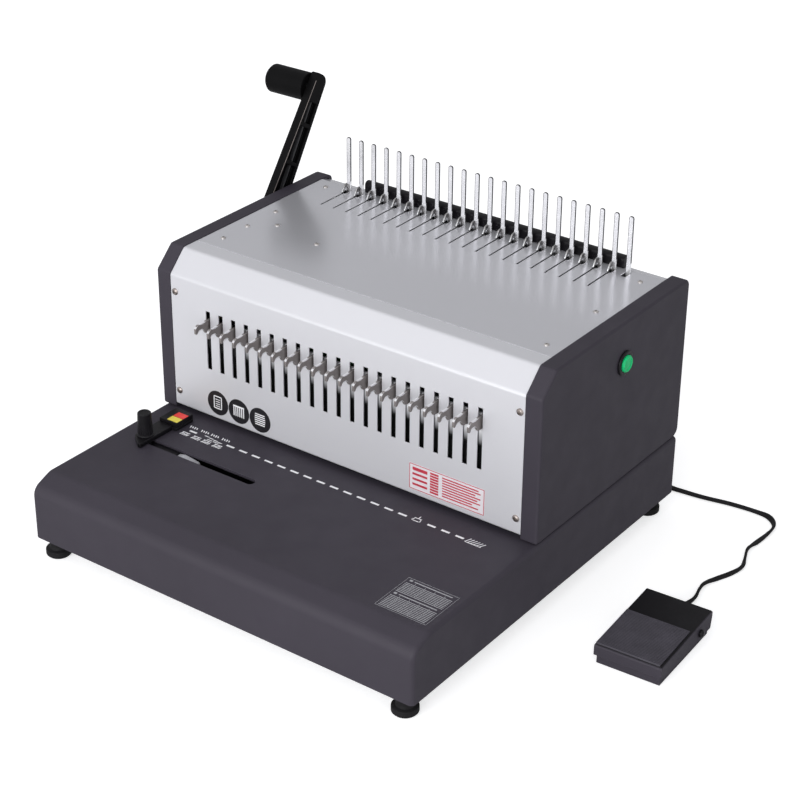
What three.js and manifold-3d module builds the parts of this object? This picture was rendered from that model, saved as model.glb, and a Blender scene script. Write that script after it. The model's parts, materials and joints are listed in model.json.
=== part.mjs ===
// Desktop comb binding machine with an electric punch, a lever-driven comb opener and a foot pedal.
// Millimetres, +Z up. The machine is laid out about the centre of its hole row: X runs along the row
// (the operator's right is +X), Y = 0 is the face of the front panel with +Y towards the back, and
// Z = 0 is the table. The last lines move that origin to the middle of the whole set's footprint.

import * as THREE from 'three';
import { mergeVertices } from 'three/addons/utils/BufferGeometryUtils.js';
import Module from 'manifold-3d';

const wasm = await Module();
wasm.setup();

// ---------------------------------------------------------------- driving dimensions

const PITCH = 14.2875; // 9/16 inch, the plastic comb pitch
const HOLES = 21;
const SHEET = 1.2; // folded cover sheet
const GAP = 0.3; // running and assembly gap

const HALF_WIDTH = 200; // half the base's width
const BASE_CENTRE = 1.2; // the base reaches a little further right than left
const CAP_FACE = 200.5; // outer faces of the end caps
const CAP_THICKNESS = 15.5;
const COVER_HALF = CAP_FACE - CAP_THICKNESS - GAP; // half length of the folded covers

const BASE_FRONT = -169;
const BACK = 228;
const BASE_BOTTOM = 18.4;
const BASE_TOP = 75.4;
const BASE_WALL = 2.4;

const PANEL_BOTTOM = 80;
const PANEL_TOP = 208; // where the upright panel starts its front chamfer
const CHAMFER = 19;
const TOP = 227;
const COVER_JOINT = 36; // seam between the front cover and the top cover
const BEND = 213; // the top cover starts to slope down to the back here

const PUNCH_Y = 22;
const PUNCH_STROKE = 10;
const DIE = { half: 170, front: 8, back: 44, bottom: 66, top: BASE_TOP };
const GUIDE = { bottom: 79.9, top: 89, stop: 31 }; // the paper slides in below the guide, up to the stop
const RAM = { half: 175, front: 14, back: 43, bottom: 108, top: 124 };

const CAM = { y: 36, z: 135.3, base: 11, sweep: THREE.MathUtils.degToRad(165), x: 120, width: 8 };
const DRIVE = { module: 1.5, camTeeth: 22, motorTeeth: 16, x: 100, width: 8 };

const RACK_GEAR = { module: 2, teeth: 21 }; // pitch radius 21 mm moves a rack 33 mm in a quarter turn
const GEAR_RADIUS = RACK_GEAR.module * RACK_GEAR.teeth / 2;
const OPENER = { y: 146, z: 172 };
const IDLER = { y: 49, z: 172 };
const OUTER_RACK = [166, 172];
const INNER_RACK = [158, 164];

const FRAME_PLATE = [176, 180];

const SLOT = { width: 4.8, bottom: 127.2, top: 183.6 };
const HOOK_THICKNESS = 2;
const SCREWS = [[-180, 94.7], [-180, 192.3], [180, 94.7], [180, 192.3]]; // x and z of the panel screws
const TINE = { y: 208, width: 4.4, thickness: 1.2, top: 279, shift: 1.9 };
const TOP_SLOT = { front: 165, back: 199, width: 1.8 };

const HANDLE = { lean: THREE.MathUtils.degToRad(31.45), reach: 159.1, inner: -202.5, thickness: 8 };
const GRIP = { radius: 13.8, length: 52.5 };

const GUIDE_SLOT = { left: -176, right: -44, front: -64.5, back: -55.5 };
const KNOB = { x: -167.5, y: -60 };
const DRAWER = { front: -34, back: 94, bottom: 26, top: 58, end: 158 };
const BUTTON = { y: 124, z: 190.5, radius: 8.5 };
const SOCKET = { x: 165, z: 40 };
const INLET = { x: -140, z: 104 };

const PEDAL = { x: 295.3, y: 31.5, turn: THREE.MathUtils.degToRad(3) };
const TREADLE = { halfWidth: 30, front: -46, back: 45, wall: 1.4 };
const PEDAL_PIVOT = { y: 22.5, z: 12.5 };

// ---------------------------------------------------------------- materials

const colour = (hex, roughness, metalness = 0) => ({ color: hex, roughness, metalness });
const POWDER = colour(0x3d3b42, 0.75, 0.1);
const SILVER = colour(0xc4c4c9, 0.4, 0.5);
const STEEL = colour(0x9a9da3, 0.35, 0.9);
const CHROME = colour(0xd8dade, 0.15, 1);
const BLACK_PLASTIC = colour(0x17161a, 0.5);
const RUBBER = colour(0x222225, 0.85);
const BRASS = colour(0xb59a4a, 0.35, 0.9);

// ---------------------------------------------------------------- solids

const machine = new THREE.Group();

function toManifold(geometry) {
  const bare = geometry.clone();
  bare.deleteAttribute('normal');
  bare.deleteAttribute('uv');
  const merged = mergeVertices(bare, 1e-4);
  return new wasm.Manifold(new wasm.Mesh({
    numProp: 3,
    vertProperties: new Float32Array(merged.attributes.position.array),
    triVerts: new Uint32Array(merged.index.array),
  }));
}

function toGeometry(solid) {
  const mesh = solid.getMesh();
  const geometry = new THREE.BufferGeometry();
  geometry.setAttribute('position', new THREE.BufferAttribute(mesh.vertProperties, 3));
  geometry.setIndex(new THREE.BufferAttribute(mesh.triVerts, 1));
  geometry.computeVertexNormals();
  return geometry;
}

function join(...geometries) {
  return toGeometry(geometries.map(toManifold).reduce((whole, next) => whole.add(next)));
}

function cut(body, ...tools) {
  return toGeometry(tools.map(toManifold).reduce((whole, tool) => whole.subtract(tool), toManifold(body)));
}

function common(...geometries) {
  return toGeometry(geometries.map(toManifold).reduce((whole, next) => whole.intersect(next)));
}

function block([x0, x1], [y0, y1], [z0, z1]) {
  const geometry = new THREE.BoxGeometry(x1 - x0, y1 - y0, z1 - z0);
  return geometry.translate((x0 + x1) / 2, (y0 + y1) / 2, (z0 + z1) / 2);
}

const toVectors = (points) => points.map(([a, b]) => new THREE.Vector2(a, b));
const shapeOf = (points) => new THREE.Shape(toVectors(points));

const X_AXIS = new THREE.Vector3(1, 0, 0);
const Y_AXIS = new THREE.Vector3(0, 1, 0);
const Z_AXIS = new THREE.Vector3(0, 0, 1);
const PLAIN_EXTRUSION = { bevelEnabled: false, curveSegments: 6 };

// A (y, z) outline pushed along X from x0 to x1.
function alongX(outline, x0, x1) {
  const shape = outline instanceof THREE.Shape ? outline : shapeOf(outline);
  const geometry = new THREE.ExtrudeGeometry(shape, { ...PLAIN_EXTRUSION, depth: x1 - x0 });
  return geometry.applyMatrix4(new THREE.Matrix4().makeBasis(Y_AXIS, Z_AXIS, X_AXIS)).translate(x0, 0, 0);
}

// An (x, z) outline pushed along Y from y0 to y1.
function alongY(outline, y0, y1) {
  const shape = outline instanceof THREE.Shape ? outline : shapeOf(outline);
  const geometry = new THREE.ExtrudeGeometry(shape, { ...PLAIN_EXTRUSION, depth: y1 - y0 });
  return geometry.rotateX(Math.PI / 2).translate(0, y1, 0);
}

// An (x, y) outline pushed up from z0 to z1.
function alongZ(outline, z0, z1) {
  const shape = outline instanceof THREE.Shape ? outline : shapeOf(outline);
  const geometry = new THREE.ExtrudeGeometry(shape, { ...PLAIN_EXTRUSION, depth: z1 - z0 });
  return geometry.translate(0, 0, z0);
}

function rodX(y, z, radius, x0, x1, sides = 18) {
  const geometry = new THREE.CylinderGeometry(radius, radius, x1 - x0, sides);
  return geometry.rotateZ(-Math.PI / 2).translate((x0 + x1) / 2, y, z);
}

function rodY(x, z, radius, y0, y1, sides = 16) {
  return new THREE.CylinderGeometry(radius, radius, y1 - y0, sides).translate(x, (y0 + y1) / 2, z);
}

function rodZ(x, y, radius, z0, z1, sides = 16) {
  const geometry = new THREE.CylinderGeometry(radius, radius, z1 - z0, sides);
  return geometry.rotateX(Math.PI / 2).translate(x, y, (z0 + z1) / 2);
}

// A turned piece about +Z from (radius, z) pairs that start and end on the axis.
function turned(profile, sides = 18) {
  const geometry = new THREE.LatheGeometry(profile.map(([r, z]) => new THREE.Vector2(r, z)), sides);
  return geometry.rotateX(Math.PI / 2);
}

// A folded sheet: the line through its outer face, thickened to the right-hand side of its travel.
function sheetOutline(line, thickness) {
  const inner = line.map((point, index) => {
    const before = line[Math.max(index - 1, 0)];
    const after = line[Math.min(index + 1, line.length - 1)];
    const from = new THREE.Vector2(point[0] - before[0], point[1] - before[1]);
    const to = new THREE.Vector2(after[0] - point[0], after[1] - point[1]);
    const a = (from.length() ? from : to).clone().normalize();
    const b = (to.length() ? to : from).clone().normalize();
    const normal = new THREE.Vector2(a.y + b.y, -a.x - b.x).normalize();
    const reach = thickness / (normal.x * a.y - normal.y * a.x);
    return [point[0] + normal.x * reach, point[1] + normal.y * reach];
  });
  return [...line, ...inner.reverse()];
}

function arcPoints(cx, cy, radius, from, to, steps) {
  return Array.from({ length: steps + 1 }, (_, i) => {
    const angle = THREE.MathUtils.degToRad(from + (to - from) * i / steps);
    return [cx + radius * Math.cos(angle), cy + radius * Math.sin(angle)];
  });
}

function roundedOutline(left, right, low, high, radius, steps = 3) {
  return [
    ...arcPoints(right - radius, low + radius, radius, -90, 0, steps),
    ...arcPoints(right - radius, high - radius, radius, 0, 90, steps),
    ...arcPoints(left + radius, high - radius, radius, 90, 180, steps),
    ...arcPoints(left + radius, low + radius, radius, 180, 270, steps),
  ];
}

const holeX = (index) => (index - (HOLES - 1) / 2) * PITCH;
const tineX = (index) => (index - HOLES / 2) * PITCH + TINE.shift;
const each = (count, make) => Array.from({ length: count }, (_, index) => make(index));

function add(name, geometry, look, parent = machine) {
  const mesh = new THREE.Mesh(geometry, new THREE.MeshStandardMaterial(look));
  mesh.name = name;
  parent.add(mesh);
  return mesh;
}

// ---------------------------------------------------------------- gears, racks and cams

const PRESSURE = THREE.MathUtils.degToRad(20);
const BACKLASH = 0.3;

// Involute spur gear in (u, v); a tooth is centred on +v, and `turn` rotates it from +v towards -u.
function gearOutline(module, teeth, turn = 0, addendum = 0.9, dedendum = 1.2) {
  const pitchRadius = module * teeth / 2;
  const baseRadius = pitchRadius * Math.cos(PRESSURE);
  const involute = (angle) => Math.tan(angle) - angle;
  const halfTooth = (Math.PI * module / 2 - BACKLASH) / 2 / pitchRadius;
  const halfAngleAt = (radius) => {
    const pressure = Math.acos(Math.min(1, baseRadius / Math.max(radius, baseRadius)));
    return halfTooth + involute(PRESSURE) - involute(pressure);
  };
  const root = pitchRadius - dedendum * module;
  const tip = pitchRadius + addendum * module;
  const radii = [Math.min(root, baseRadius), pitchRadius, tip];
  return each(teeth, (tooth) => {
    const centre = turn + tooth * 2 * Math.PI / teeth;
    const at = (radius, offset) => [-radius * Math.sin(centre + offset), radius * Math.cos(centre + offset)];
    const rising = radii.map((radius) => at(radius, -halfAngleAt(radius)));
    const falling = radii.map((radius) => at(radius, halfAngleAt(radius))).reverse();
    return [...rising, ...falling];
  }).flat();
}

// A straight rack along u from u0 to u1 with its pitch line at v = 0 and its teeth pointing to -v; the
// gaps are centred on `gap` plus whole pitches, and the bar reaches up to v = back.
function rackOutline(module, u0, u1, gap, back) {
  const pitch = Math.PI * module;
  const addendum = 0.9 * module;
  const dedendum = 1.2 * module;
  const halfTooth = pitch / 4 - BACKLASH / 4;
  const lean = Math.tan(PRESSURE);
  const points = [[u0, back], [u0, dedendum]];
  const first = Math.ceil((u0 - gap) / pitch + 0.5);
  for (let n = first; gap + (n + 0.5) * pitch + halfTooth + dedendum * lean < u1; n += 1) {
    const centre = gap + (n + 0.5) * pitch;
    points.push([centre - halfTooth - dedendum * lean, dedendum]);
    points.push([centre - halfTooth + addendum * lean, -addendum]);
    points.push([centre + halfTooth - addendum * lean, -addendum]);
    points.push([centre + halfTooth + dedendum * lean, dedendum]);
  }
  points.push([u1, dedendum], [u1, back]);
  return points;
}

// Constant-velocity cam for a flat follower: the distance from the shaft to the follower grows in
// proportion to the turn over the working sweep, then falls back smoothly. Direction 0 points down.
function camOutline(steps = 40) {
  const rate = PUNCH_STROKE / CAM.sweep;
  const rest = 2 * Math.PI - CAM.sweep;
  return each(steps, (step) => {
    const angle = step * 2 * Math.PI / steps;
    let reach = CAM.base + rate * angle;
    let slope = rate;
    if (angle > CAM.sweep) {
      const t = (angle - CAM.sweep) / rest;
      const fall = 2 * t ** 3 - 3 * t ** 2 + 1;
      const push = t ** 3 - 2 * t ** 2 + t;
      reach = CAM.base + PUNCH_STROKE * fall + rate * rest * push;
      slope = (PUNCH_STROKE * (6 * t ** 2 - 6 * t) + rate * rest * (3 * t ** 2 - 4 * t + 1)) / rest;
    }
    return [
      CAM.y + reach * Math.sin(angle) + slope * Math.cos(angle),
      CAM.z - reach * Math.cos(angle) + slope * Math.sin(angle),
    ];
  });
}

// ---------------------------------------------------------------- base

const BASE_FRONT_CURVE = [
  [BASE_FRONT, 61], [-167.5, 65.5], [-164, 69], [-158, 72.2], [-151, 74.4], [-146, BASE_TOP],
];

function baseEnvelope(inset, bottom) {
  const side = [
    [BASE_FRONT + inset, bottom],
    ...BASE_FRONT_CURVE.map(([y, z]) => [y + inset, z - inset]).slice(0, -1),
    [-146 + inset, BASE_TOP - inset],
    [BACK - inset, BASE_TOP - inset],
    [BACK - inset, bottom],
  ].reverse();
  const half = HALF_WIDTH - inset;
  const radius = 5 - inset / 2;
  const end = [
    [half, bottom],
    ...arcPoints(half - radius, BASE_TOP - inset - radius, radius, 0, 90, 3),
    ...arcPoints(-half + radius, BASE_TOP - inset - radius, radius, 90, 180, 3),
    [-half, bottom],
  ];
  const plan = roundedOutline(-half, half, BASE_FRONT + inset, BACK - inset, radius);
  const envelope = common(
    alongX(side, -half, half),
    alongY(end, BASE_FRONT + inset, BACK - inset),
    alongZ(plan, bottom, BASE_TOP - inset),
  );
  return envelope.translate(BASE_CENTRE, 0, 0);
}

function baseShell() {
  const dieOpening = block([-DIE.half - 1, DIE.half + 1], [DIE.front - 1, DIE.back + 1], [60, 80]);
  const guideSlot = alongZ(
    roundedOutline(GUIDE_SLOT.left, GUIDE_SLOT.right, GUIDE_SLOT.front, GUIDE_SLOT.back, 4.4), 60, 80,
  );
  const drawerOpening = block(
    [BASE_CENTRE - HALF_WIDTH - 1, BASE_CENTRE - HALF_WIDTH + 8],
    [DRAWER.front - 2, DRAWER.back + 2],
    [DRAWER.bottom, DRAWER.top + 2],
  );
  const socketHole = rodY(SOCKET.x, SOCKET.z, 5.3, BACK - 8, BACK + 1);
  return cut(
    baseEnvelope(0, BASE_BOTTOM),
    baseEnvelope(BASE_WALL, BASE_BOTTOM - 1),
    dieOpening,
    guideSlot,
    drawerOpening,
    socketHole,
  );
}

function baseBottomPlate() {
  const inset = BASE_WALL + GAP;
  const plan = roundedOutline(
    -HALF_WIDTH + inset, HALF_WIDTH - inset, BASE_FRONT + inset, BACK - inset, 4,
  );
  return alongZ(plan, BASE_BOTTOM, BASE_BOTTOM + 2).translate(BASE_CENTRE, 0, 0);
}

function foot() {
  const top = BASE_BOTTOM - GAP;
  return turned([
    [0, 0], [10.2, 0], [11.4, 1.2], [11.4, 6.2], [10.6, 7.2], [8, 7.6], [7.4, 9], [7.4, top - 1], [8, top],
    [0, top],
  ]);
}

add('base_shell', baseShell(), POWDER);
add('base_bottom_plate', baseBottomPlate(), STEEL);
for (const [end, y] of [['front', -156], ['rear', 211]]) {
  add(`foot_${end}_left`, foot().translate(-185, y, 0), RUBBER);
  add(`foot_${end}_right`, foot().translate(185, y, 0), RUBBER);
}

// ---------------------------------------------------------------- covers and end caps

const CHAMFER_CURVE = [
  [0, PANEL_BOTTOM + 2], [0, PANEL_TOP - 3], [0.9, PANEL_TOP + 0.8],
  [CHAMFER - 4.2, TOP - 3.6], [CHAMFER - 0.6, TOP - 0.7], [CHAMFER + 3, TOP],
];

function frontCover() {
  const line = [[7.4, PANEL_BOTTOM], [1.6, PANEL_BOTTOM], ...CHAMFER_CURVE, [COVER_JOINT, TOP]];
  const sheet = alongX(sheetOutline(line, SHEET), -COVER_HALF, COVER_HALF);
  const slots = each(HOLES, (i) => block(
    [holeX(i) - SLOT.width / 2, holeX(i) + SLOT.width / 2], [-2, 3], [SLOT.bottom, SLOT.top],
  ));
  return cut(sheet, ...slots, ...SCREWS.map(([x, z]) => rodY(x, z, 1.9, -2, 3, 12)));
}

function topCover() {
  const line = [
    [COVER_JOINT + GAP, TOP], [BEND, TOP], [BACK - 3.5, TOP - 3.2], [BACK - 0.8, TOP - 4.6], [BACK, TOP - 7],
    [BACK, 205],
  ];
  const sheet = alongX(sheetOutline(line, SHEET), -COVER_HALF, COVER_HALF);
  const z = [TOP - 4, TOP + 2];
  const half = TOP_SLOT.width / 2;
  const cuts = [];
  for (let i = 0; i <= HOLES; i += 1) {
    cuts.push(block([tineX(i) - 2.6, tineX(i) + 2.6], [TOP_SLOT.back - 0.5, TINE.y + 1], z));
    if (i < HOLES) {
      cuts.push(block([tineX(i) - half, tineX(i) + half], [TOP_SLOT.front, TOP_SLOT.back], z));
    }
  }
  return cut(sheet, ...cuts);
}

function rearCover() {
  const line = [[BACK - 10, 204.6], [BACK, 204.6], [BACK, PANEL_BOTTOM - 4], [BACK - 10, PANEL_BOTTOM - 4]];
  const sheet = alongX(sheetOutline(line, SHEET), -COVER_HALF, COVER_HALF);
  const opening = block([INLET.x - 13.6, INLET.x + 13.6], [BACK - 4, BACK + 1], [INLET.z - 10, INLET.z + 10]);
  const vents = each(9, (i) => block([90 + i * 8, 93 + i * 8], [BACK - 4, BACK + 1], [110, 160]));
  return cut(sheet, opening, ...vents);
}

// The cap's outline, drawn `inset` inside its rim, with rounded rear corners.
function capOutline(inset) {
  const low = BASE_TOP + 0.6 + inset;
  const high = TOP + 0.6 - inset;
  const back = BACK + 1 - inset;
  return [
    [inset, low],
    ...arcPoints(back - 8, low + 8, 8, -90, 0, 4),
    ...arcPoints(back - 6, high - 6, 6, 0, 90, 3),
    [CHAMFER + inset * 0.4, high],
    [inset - 0.4, PANEL_TOP + 1 - inset * 0.6],
  ];
}

// The cap as a solid block from x = 0 to its outer face, whose edge is broken by a small bevel.
function capBlank() {
  const bevel = 1.2;
  const rings = [[0, 0], [CAP_THICKNESS - bevel, 0], [CAP_THICKNESS, bevel]]
    .map(([x, inset]) => capOutline(inset).map(([y, z]) => [x, y, z]));
  const count = rings[0].length;
  const at = (ring, corner) => ring * count + corner % count;
  const index = [];
  for (let ring = 0; ring < 2; ring += 1) {
    for (let corner = 0; corner < count; corner += 1) {
      index.push(at(ring, corner), at(ring, corner + 1), at(ring + 1, corner + 1));
      index.push(at(ring, corner), at(ring + 1, corner + 1), at(ring + 1, corner));
    }
  }
  for (const [a, b, c] of THREE.ShapeUtils.triangulateShape(toVectors(capOutline(0)), [])) {
    index.push(c, b, a);
  }
  for (const [a, b, c] of THREE.ShapeUtils.triangulateShape(toVectors(capOutline(bevel)), [])) {
    index.push(2 * count + a, 2 * count + b, 2 * count + c);
  }
  const geometry = new THREE.BufferGeometry();
  geometry.setAttribute('position', new THREE.Float32BufferAttribute(rings.flat(2), 3));
  geometry.setIndex(index);
  return geometry.toNonIndexed();
}

function endCap(side) {
  const wall = 3;
  const pocket = alongX(capOutline(wall), -1, CAP_THICKNESS - wall);
  const placed = cut(capBlank(), pocket).translate(CAP_FACE - CAP_THICKNESS, 0, 0);
  if (side === 'left') {
    const mirrored = toGeometry(toManifold(placed).mirror([1, 0, 0]));
    return cut(mirrored, rodX(OPENER.y, OPENER.z, 8, -CAP_FACE - 1, -COVER_HALF));
  }
  return cut(placed, rodX(BUTTON.y, BUTTON.z, 9.3, COVER_HALF, CAP_FACE + 1));
}

function panelScrew(x, z) {
  const head = turned([[0, -5], [1.5, -5], [1.5, 0.2], [3.2, 0.2], [3, 1.3], [1.8, 2], [0, 2.1]], 12);
  const recess = join(
    block([-1.5, 1.5], [-0.35, 0.35], [1.2, 3]),
    block([-0.35, 0.35], [-1.5, 1.5], [1.2, 3]),
  );
  return cut(head, recess).rotateX(Math.PI / 2).translate(x, 0, z);
}

add('front_cover', frontCover(), SILVER);
add('top_cover', topCover(), SILVER);
add('rear_cover', rearCover(), POWDER);
add('end_cap_left', endCap('left'), POWDER);
add('end_cap_right', endCap('right'), POWDER);
SCREWS.forEach(([x, z]) => {
  const name = `panel_screw_${z > 150 ? 'upper' : 'lower'}_${x < 0 ? 'left' : 'right'}`;
  add(name, panelScrew(x, z), CHROME);
});

// ---------------------------------------------------------------- side frames

function sideFrame(side) {
  const [inner, outer] = FRAME_PLATE;
  const plate = alongX([[8, 76], [210, 76], [210, 220], [26, 220], [8, 200]], inner, outer);
  const feet = [[60, 92], [168, 200]].map((span) => block([inner - 14, inner + 1], span, [76, 80]));
  const window = block([inner - 1, outer + 1], [70, 120], [95, 140]);
  const bores = [[CAM.y, CAM.z, 6], [IDLER.y, IDLER.z, 5], [OPENER.y, OPENER.z, 6]]
    .map(([y, z, radius]) => rodX(y, z, radius + GAP, inner - 1, outer + 1));
  const frame = cut(join(plate, ...feet), window, ...bores);
  return side > 0 ? frame : toGeometry(toManifold(frame).mirror([1, 0, 0]));
}

add('side_frame_left', sideFrame(-1), STEEL);
add('side_frame_right', sideFrame(1), STEEL);

// ---------------------------------------------------------------- punch

const PUNCH = { width: 8, depth: 3 };

const punchPrism = (index, grow, z) => block(
  [holeX(index) - PUNCH.width / 2 - grow, holeX(index) + PUNCH.width / 2 + grow],
  [PUNCH_Y - PUNCH.depth / 2 - grow, PUNCH_Y + PUNCH.depth / 2 + grow],
  z,
);

function diePlate() {
  const plate = block([-DIE.half, DIE.half], [DIE.front, DIE.back], [DIE.bottom, DIE.top]);
  return cut(plate, ...each(HOLES, (i) => punchPrism(i, GAP, [DIE.bottom - 1, DIE.top + 1])));
}

function punchGuidePlate() {
  const plate = block([-DIE.half, DIE.half], [DIE.front, DIE.back], [GUIDE.bottom, GUIDE.top]);
  const backStop = block([-DIE.half, DIE.half], [GUIDE.stop, DIE.back], [DIE.top + GAP, GUIDE.bottom + 1]);
  const guides = each(HOLES, (i) => punchPrism(i, GAP, [GUIDE.bottom - 1, GUIDE.top + 1]));
  return cut(join(plate, backStop), ...guides);
}

function punchRam() {
  const beam = block([-RAM.half, RAM.half], [RAM.front, RAM.back], [RAM.bottom, RAM.top]);
  const punches = each(HOLES, (i) => punchPrism(i, 0, [GUIDE.bottom + 1.2, RAM.bottom + 1]));
  const gearRelief = block(
    [DRIVE.x - 3, DRIVE.x + DRIVE.width + 3], [RAM.front - 1, RAM.back + 1], [RAM.bottom + 5, RAM.top + 1],
  );
  return cut(join(beam, ...punches), gearRelief);
}

class Coil extends THREE.Curve {
  constructor(x, y, radius, low, high, turns) {
    super();
    Object.assign(this, { x, y, radius, low, high, turns });
  }

  getPoint(t, target = new THREE.Vector3()) {
    const angle = 2 * Math.PI * this.turns * t;
    const z = this.low + (this.high - this.low) * t;
    return target.set(this.x + this.radius * Math.cos(angle), this.y + this.radius * Math.sin(angle), z);
  }
}

function spring(x, y, radius, wire, low, high, turns) {
  const section = shapeOf(arcPoints(0, 0, wire, 0, 288, 4));
  const path = new Coil(x, y, radius, low + wire + 0.1, high - wire - 0.1, turns);
  return new THREE.ExtrudeGeometry(section, { steps: turns * 10, bevelEnabled: false, extrudePath: path });
}

function cam(x) {
  const lobe = alongX(camOutline(), x - CAM.width / 2, x + CAM.width / 2);
  return cut(lobe, rodX(CAM.y, CAM.z, 6 + GAP / 6, x - CAM.width, x + CAM.width));
}

function toothedWheel(outline, y, z, bore, x0, x1) {
  const wheel = alongX(outline, x0, x1).translate(0, y, z);
  return cut(wheel, rodX(y, z, bore, x0 - 1, x1 + 1));
}

const MOTOR_Y = CAM.y + DRIVE.module * (DRIVE.camTeeth + DRIVE.motorTeeth) / 2 + 0.1;
const DRIVE_GEAR_X = [DRIVE.x, DRIVE.x + DRIVE.width];

function gearMotor() {
  const gearbox = block([62, 91.6], [MOTOR_Y - 19, MOTOR_Y + 21], [CAM.z - 20, CAM.z + 20]);
  const can = rodX(MOTOR_Y, CAM.z, 18, 4, 63);
  const nose = rodX(MOTOR_Y, CAM.z, 2.5, 0, 5, 12);
  const boss = rodX(MOTOR_Y, CAM.z, 8, 91, 95, 20);
  return join(gearbox, can, nose, boss);
}

function motorPinion() {
  const outline = gearOutline(DRIVE.module, DRIVE.motorTeeth, Math.PI / 2 + Math.PI / DRIVE.motorTeeth);
  const wheel = alongX(outline, ...DRIVE_GEAR_X).translate(0, MOTOR_Y, CAM.z);
  return join(wheel, rodX(MOTOR_Y, CAM.z, 4, 95.4, DRIVE.x + 1, 16));
}

function motorBracket() {
  const plate = block([92, 94.6], [MOTOR_Y - 21, MOTOR_Y + 30], [76, CAM.z + 24]);
  const footFlange = block([92, 124], [MOTOR_Y - 4, MOTOR_Y + 30], [76, 78.6]);
  const bore = rodX(MOTOR_Y, CAM.z, 8 + GAP, 90, 96);
  const ramRelief = block([90, 96], [0, DIE.back + 2], [70, RAM.top + 3]);
  return cut(join(plate, footFlange), bore, ramRelief);
}

function controlBoard() {
  const board = block([-150, -40], [100, 186], [82, 83.6]);
  const corners = [[-144, 106], [-46, 106], [-144, 180], [-46, 180]];
  const posts = corners.map(([x, y]) => rodZ(x, y, 3, 75.8, 83, 10));
  const transformer = block([-140, -104], [122, 158], [83, 113]);
  const relay = block([-92, -72], [112, 128], [83, 99]);
  const heatsink = block([-94, -60], [150, 170], [83, 106]);
  const terminals = block([-66, -46], [116, 140], [83, 93]);
  return join(board, ...posts, transformer, relay, heatsink, terminals);
}

add('die_plate', diePlate(), STEEL);
add('punch_guide_plate', punchGuidePlate(), STEEL);
add('punch_ram', punchRam(), STEEL);
add('ram_spring_left', spring(-158, 26, 5, 0.8, GUIDE.top, RAM.bottom, 4), CHROME);
add('ram_spring_right', spring(158, 26, 5, 0.8, GUIDE.top, RAM.bottom, 4), CHROME);
add('cam_shaft', rodX(CAM.y, CAM.z, 6, -182, 182), STEEL);
add('cam_left', cam(-CAM.x), STEEL);
add('cam_right', cam(CAM.x), STEEL);
const camGearOutline = gearOutline(DRIVE.module, DRIVE.camTeeth, -Math.PI / 2);
add('cam_gear', toothedWheel(camGearOutline, CAM.y, CAM.z, 6 + GAP / 6, ...DRIVE_GEAR_X), BRASS);
add('motor_pinion', motorPinion(), STEEL);
add('gear_motor', gearMotor(), STEEL);
add('motor_bracket', motorBracket(), STEEL);
add('control_board', controlBoard(), colour(0x2c6b3f, 0.6));

// ---------------------------------------------------------------- comb opener

const idlerTurn = (IDLER.y - OPENER.y) / GEAR_RADIUS; // keeps the idlers in step with the same rack
const bothSides = ([a, b]) => [['left', -b, -a], ['right', a, b]];

add('opener_shaft', rodX(OPENER.y, OPENER.z, 6, -212, 182), STEEL);
add('idler_shaft', rodX(IDLER.y, IDLER.z, 5, -182, 182), STEEL);
for (const [side, x0, x1] of bothSides(OUTER_RACK)) {
  const outline = gearOutline(RACK_GEAR.module, RACK_GEAR.teeth);
  add(`opener_pinion_${side}`, toothedWheel(outline, OPENER.y, OPENER.z, 6.05, x0, x1), BRASS);
}
for (const [side, x0, x1] of bothSides([INNER_RACK[0], OUTER_RACK[1]])) {
  const outline = gearOutline(RACK_GEAR.module, RACK_GEAR.teeth, idlerTurn);
  add(`idler_pinion_${side}`, toothedWheel(outline, IDLER.y, IDLER.z, 5.05, x0, x1), BRASS);
}

const TOP_HOOK_BACK = 206.8;

function topHook(x) {
  const claw = [
    [TOP_HOOK_BACK, 204], [TOP_HOOK_BACK, 233.2], [204.6, 235.3], [200.6, 234],
    [196.8, 228.4], [197.9, 228], [201, 231.4], [203, 230], [202.2, 204],
  ].reverse();
  return alongX(claw, x - 0.5, x + 0.5);
}

function topHookCarriage() {
  const deck = block([-OUTER_RACK[1], OUTER_RACK[1]], [186, TOP_HOOK_BACK], [203, 205]);
  const arms = bothSides(OUTER_RACK).map(([, x0, x1]) => {
    const outline = rackOutline(RACK_GEAR.module, 44, 190, OPENER.y, 12)
      .map(([y, v]) => [y, OPENER.z + GEAR_RADIUS + 0.1 + v]).reverse();
    return alongX(outline, x0, x1);
  });
  const hooks = each(HOLES, (i) => topHook(tineX(i)));
  return join(deck, ...arms, ...hooks);
}

function frontHook(x) {
  const claw = [
    [5, 176.2], [-14.8, 175.9], [-17.2, 174], [-17, 169.4], [-16, 168.2], [-14.4, 169],
    [-12.6, 170.6], [-8.8, 170.4], [-6.2, 168.6], [-3.8, 165], [-2, 164.6], [5, 164.6],
  ];
  return alongX(claw, x - HOOK_THICKNESS / 2, x + HOOK_THICKNESS / 2);
}

function frontHookCarriage() {
  const plate = block([-INNER_RACK[1], INNER_RACK[1]], [4, 6], [118, 176.4]);
  const pitchLine = IDLER.y - GEAR_RADIUS - 0.1;
  const gap = IDLER.z - GEAR_RADIUS * (idlerTurn - Math.PI / 2);
  const racks = bothSides(INNER_RACK).map(([, x0, x1]) => {
    const teeth = rackOutline(RACK_GEAR.module, 163, 216, gap, 12).map(([z, v]) => [pitchLine - v, z]);
    const arm = block([x0, x1], [5, pitchLine - 6], [163, 176.4]);
    return join(alongX(teeth, x0, x1), arm);
  });
  return join(plate, ...racks, ...each(HOLES, (i) => frontHook(holeX(i))));
}

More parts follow.
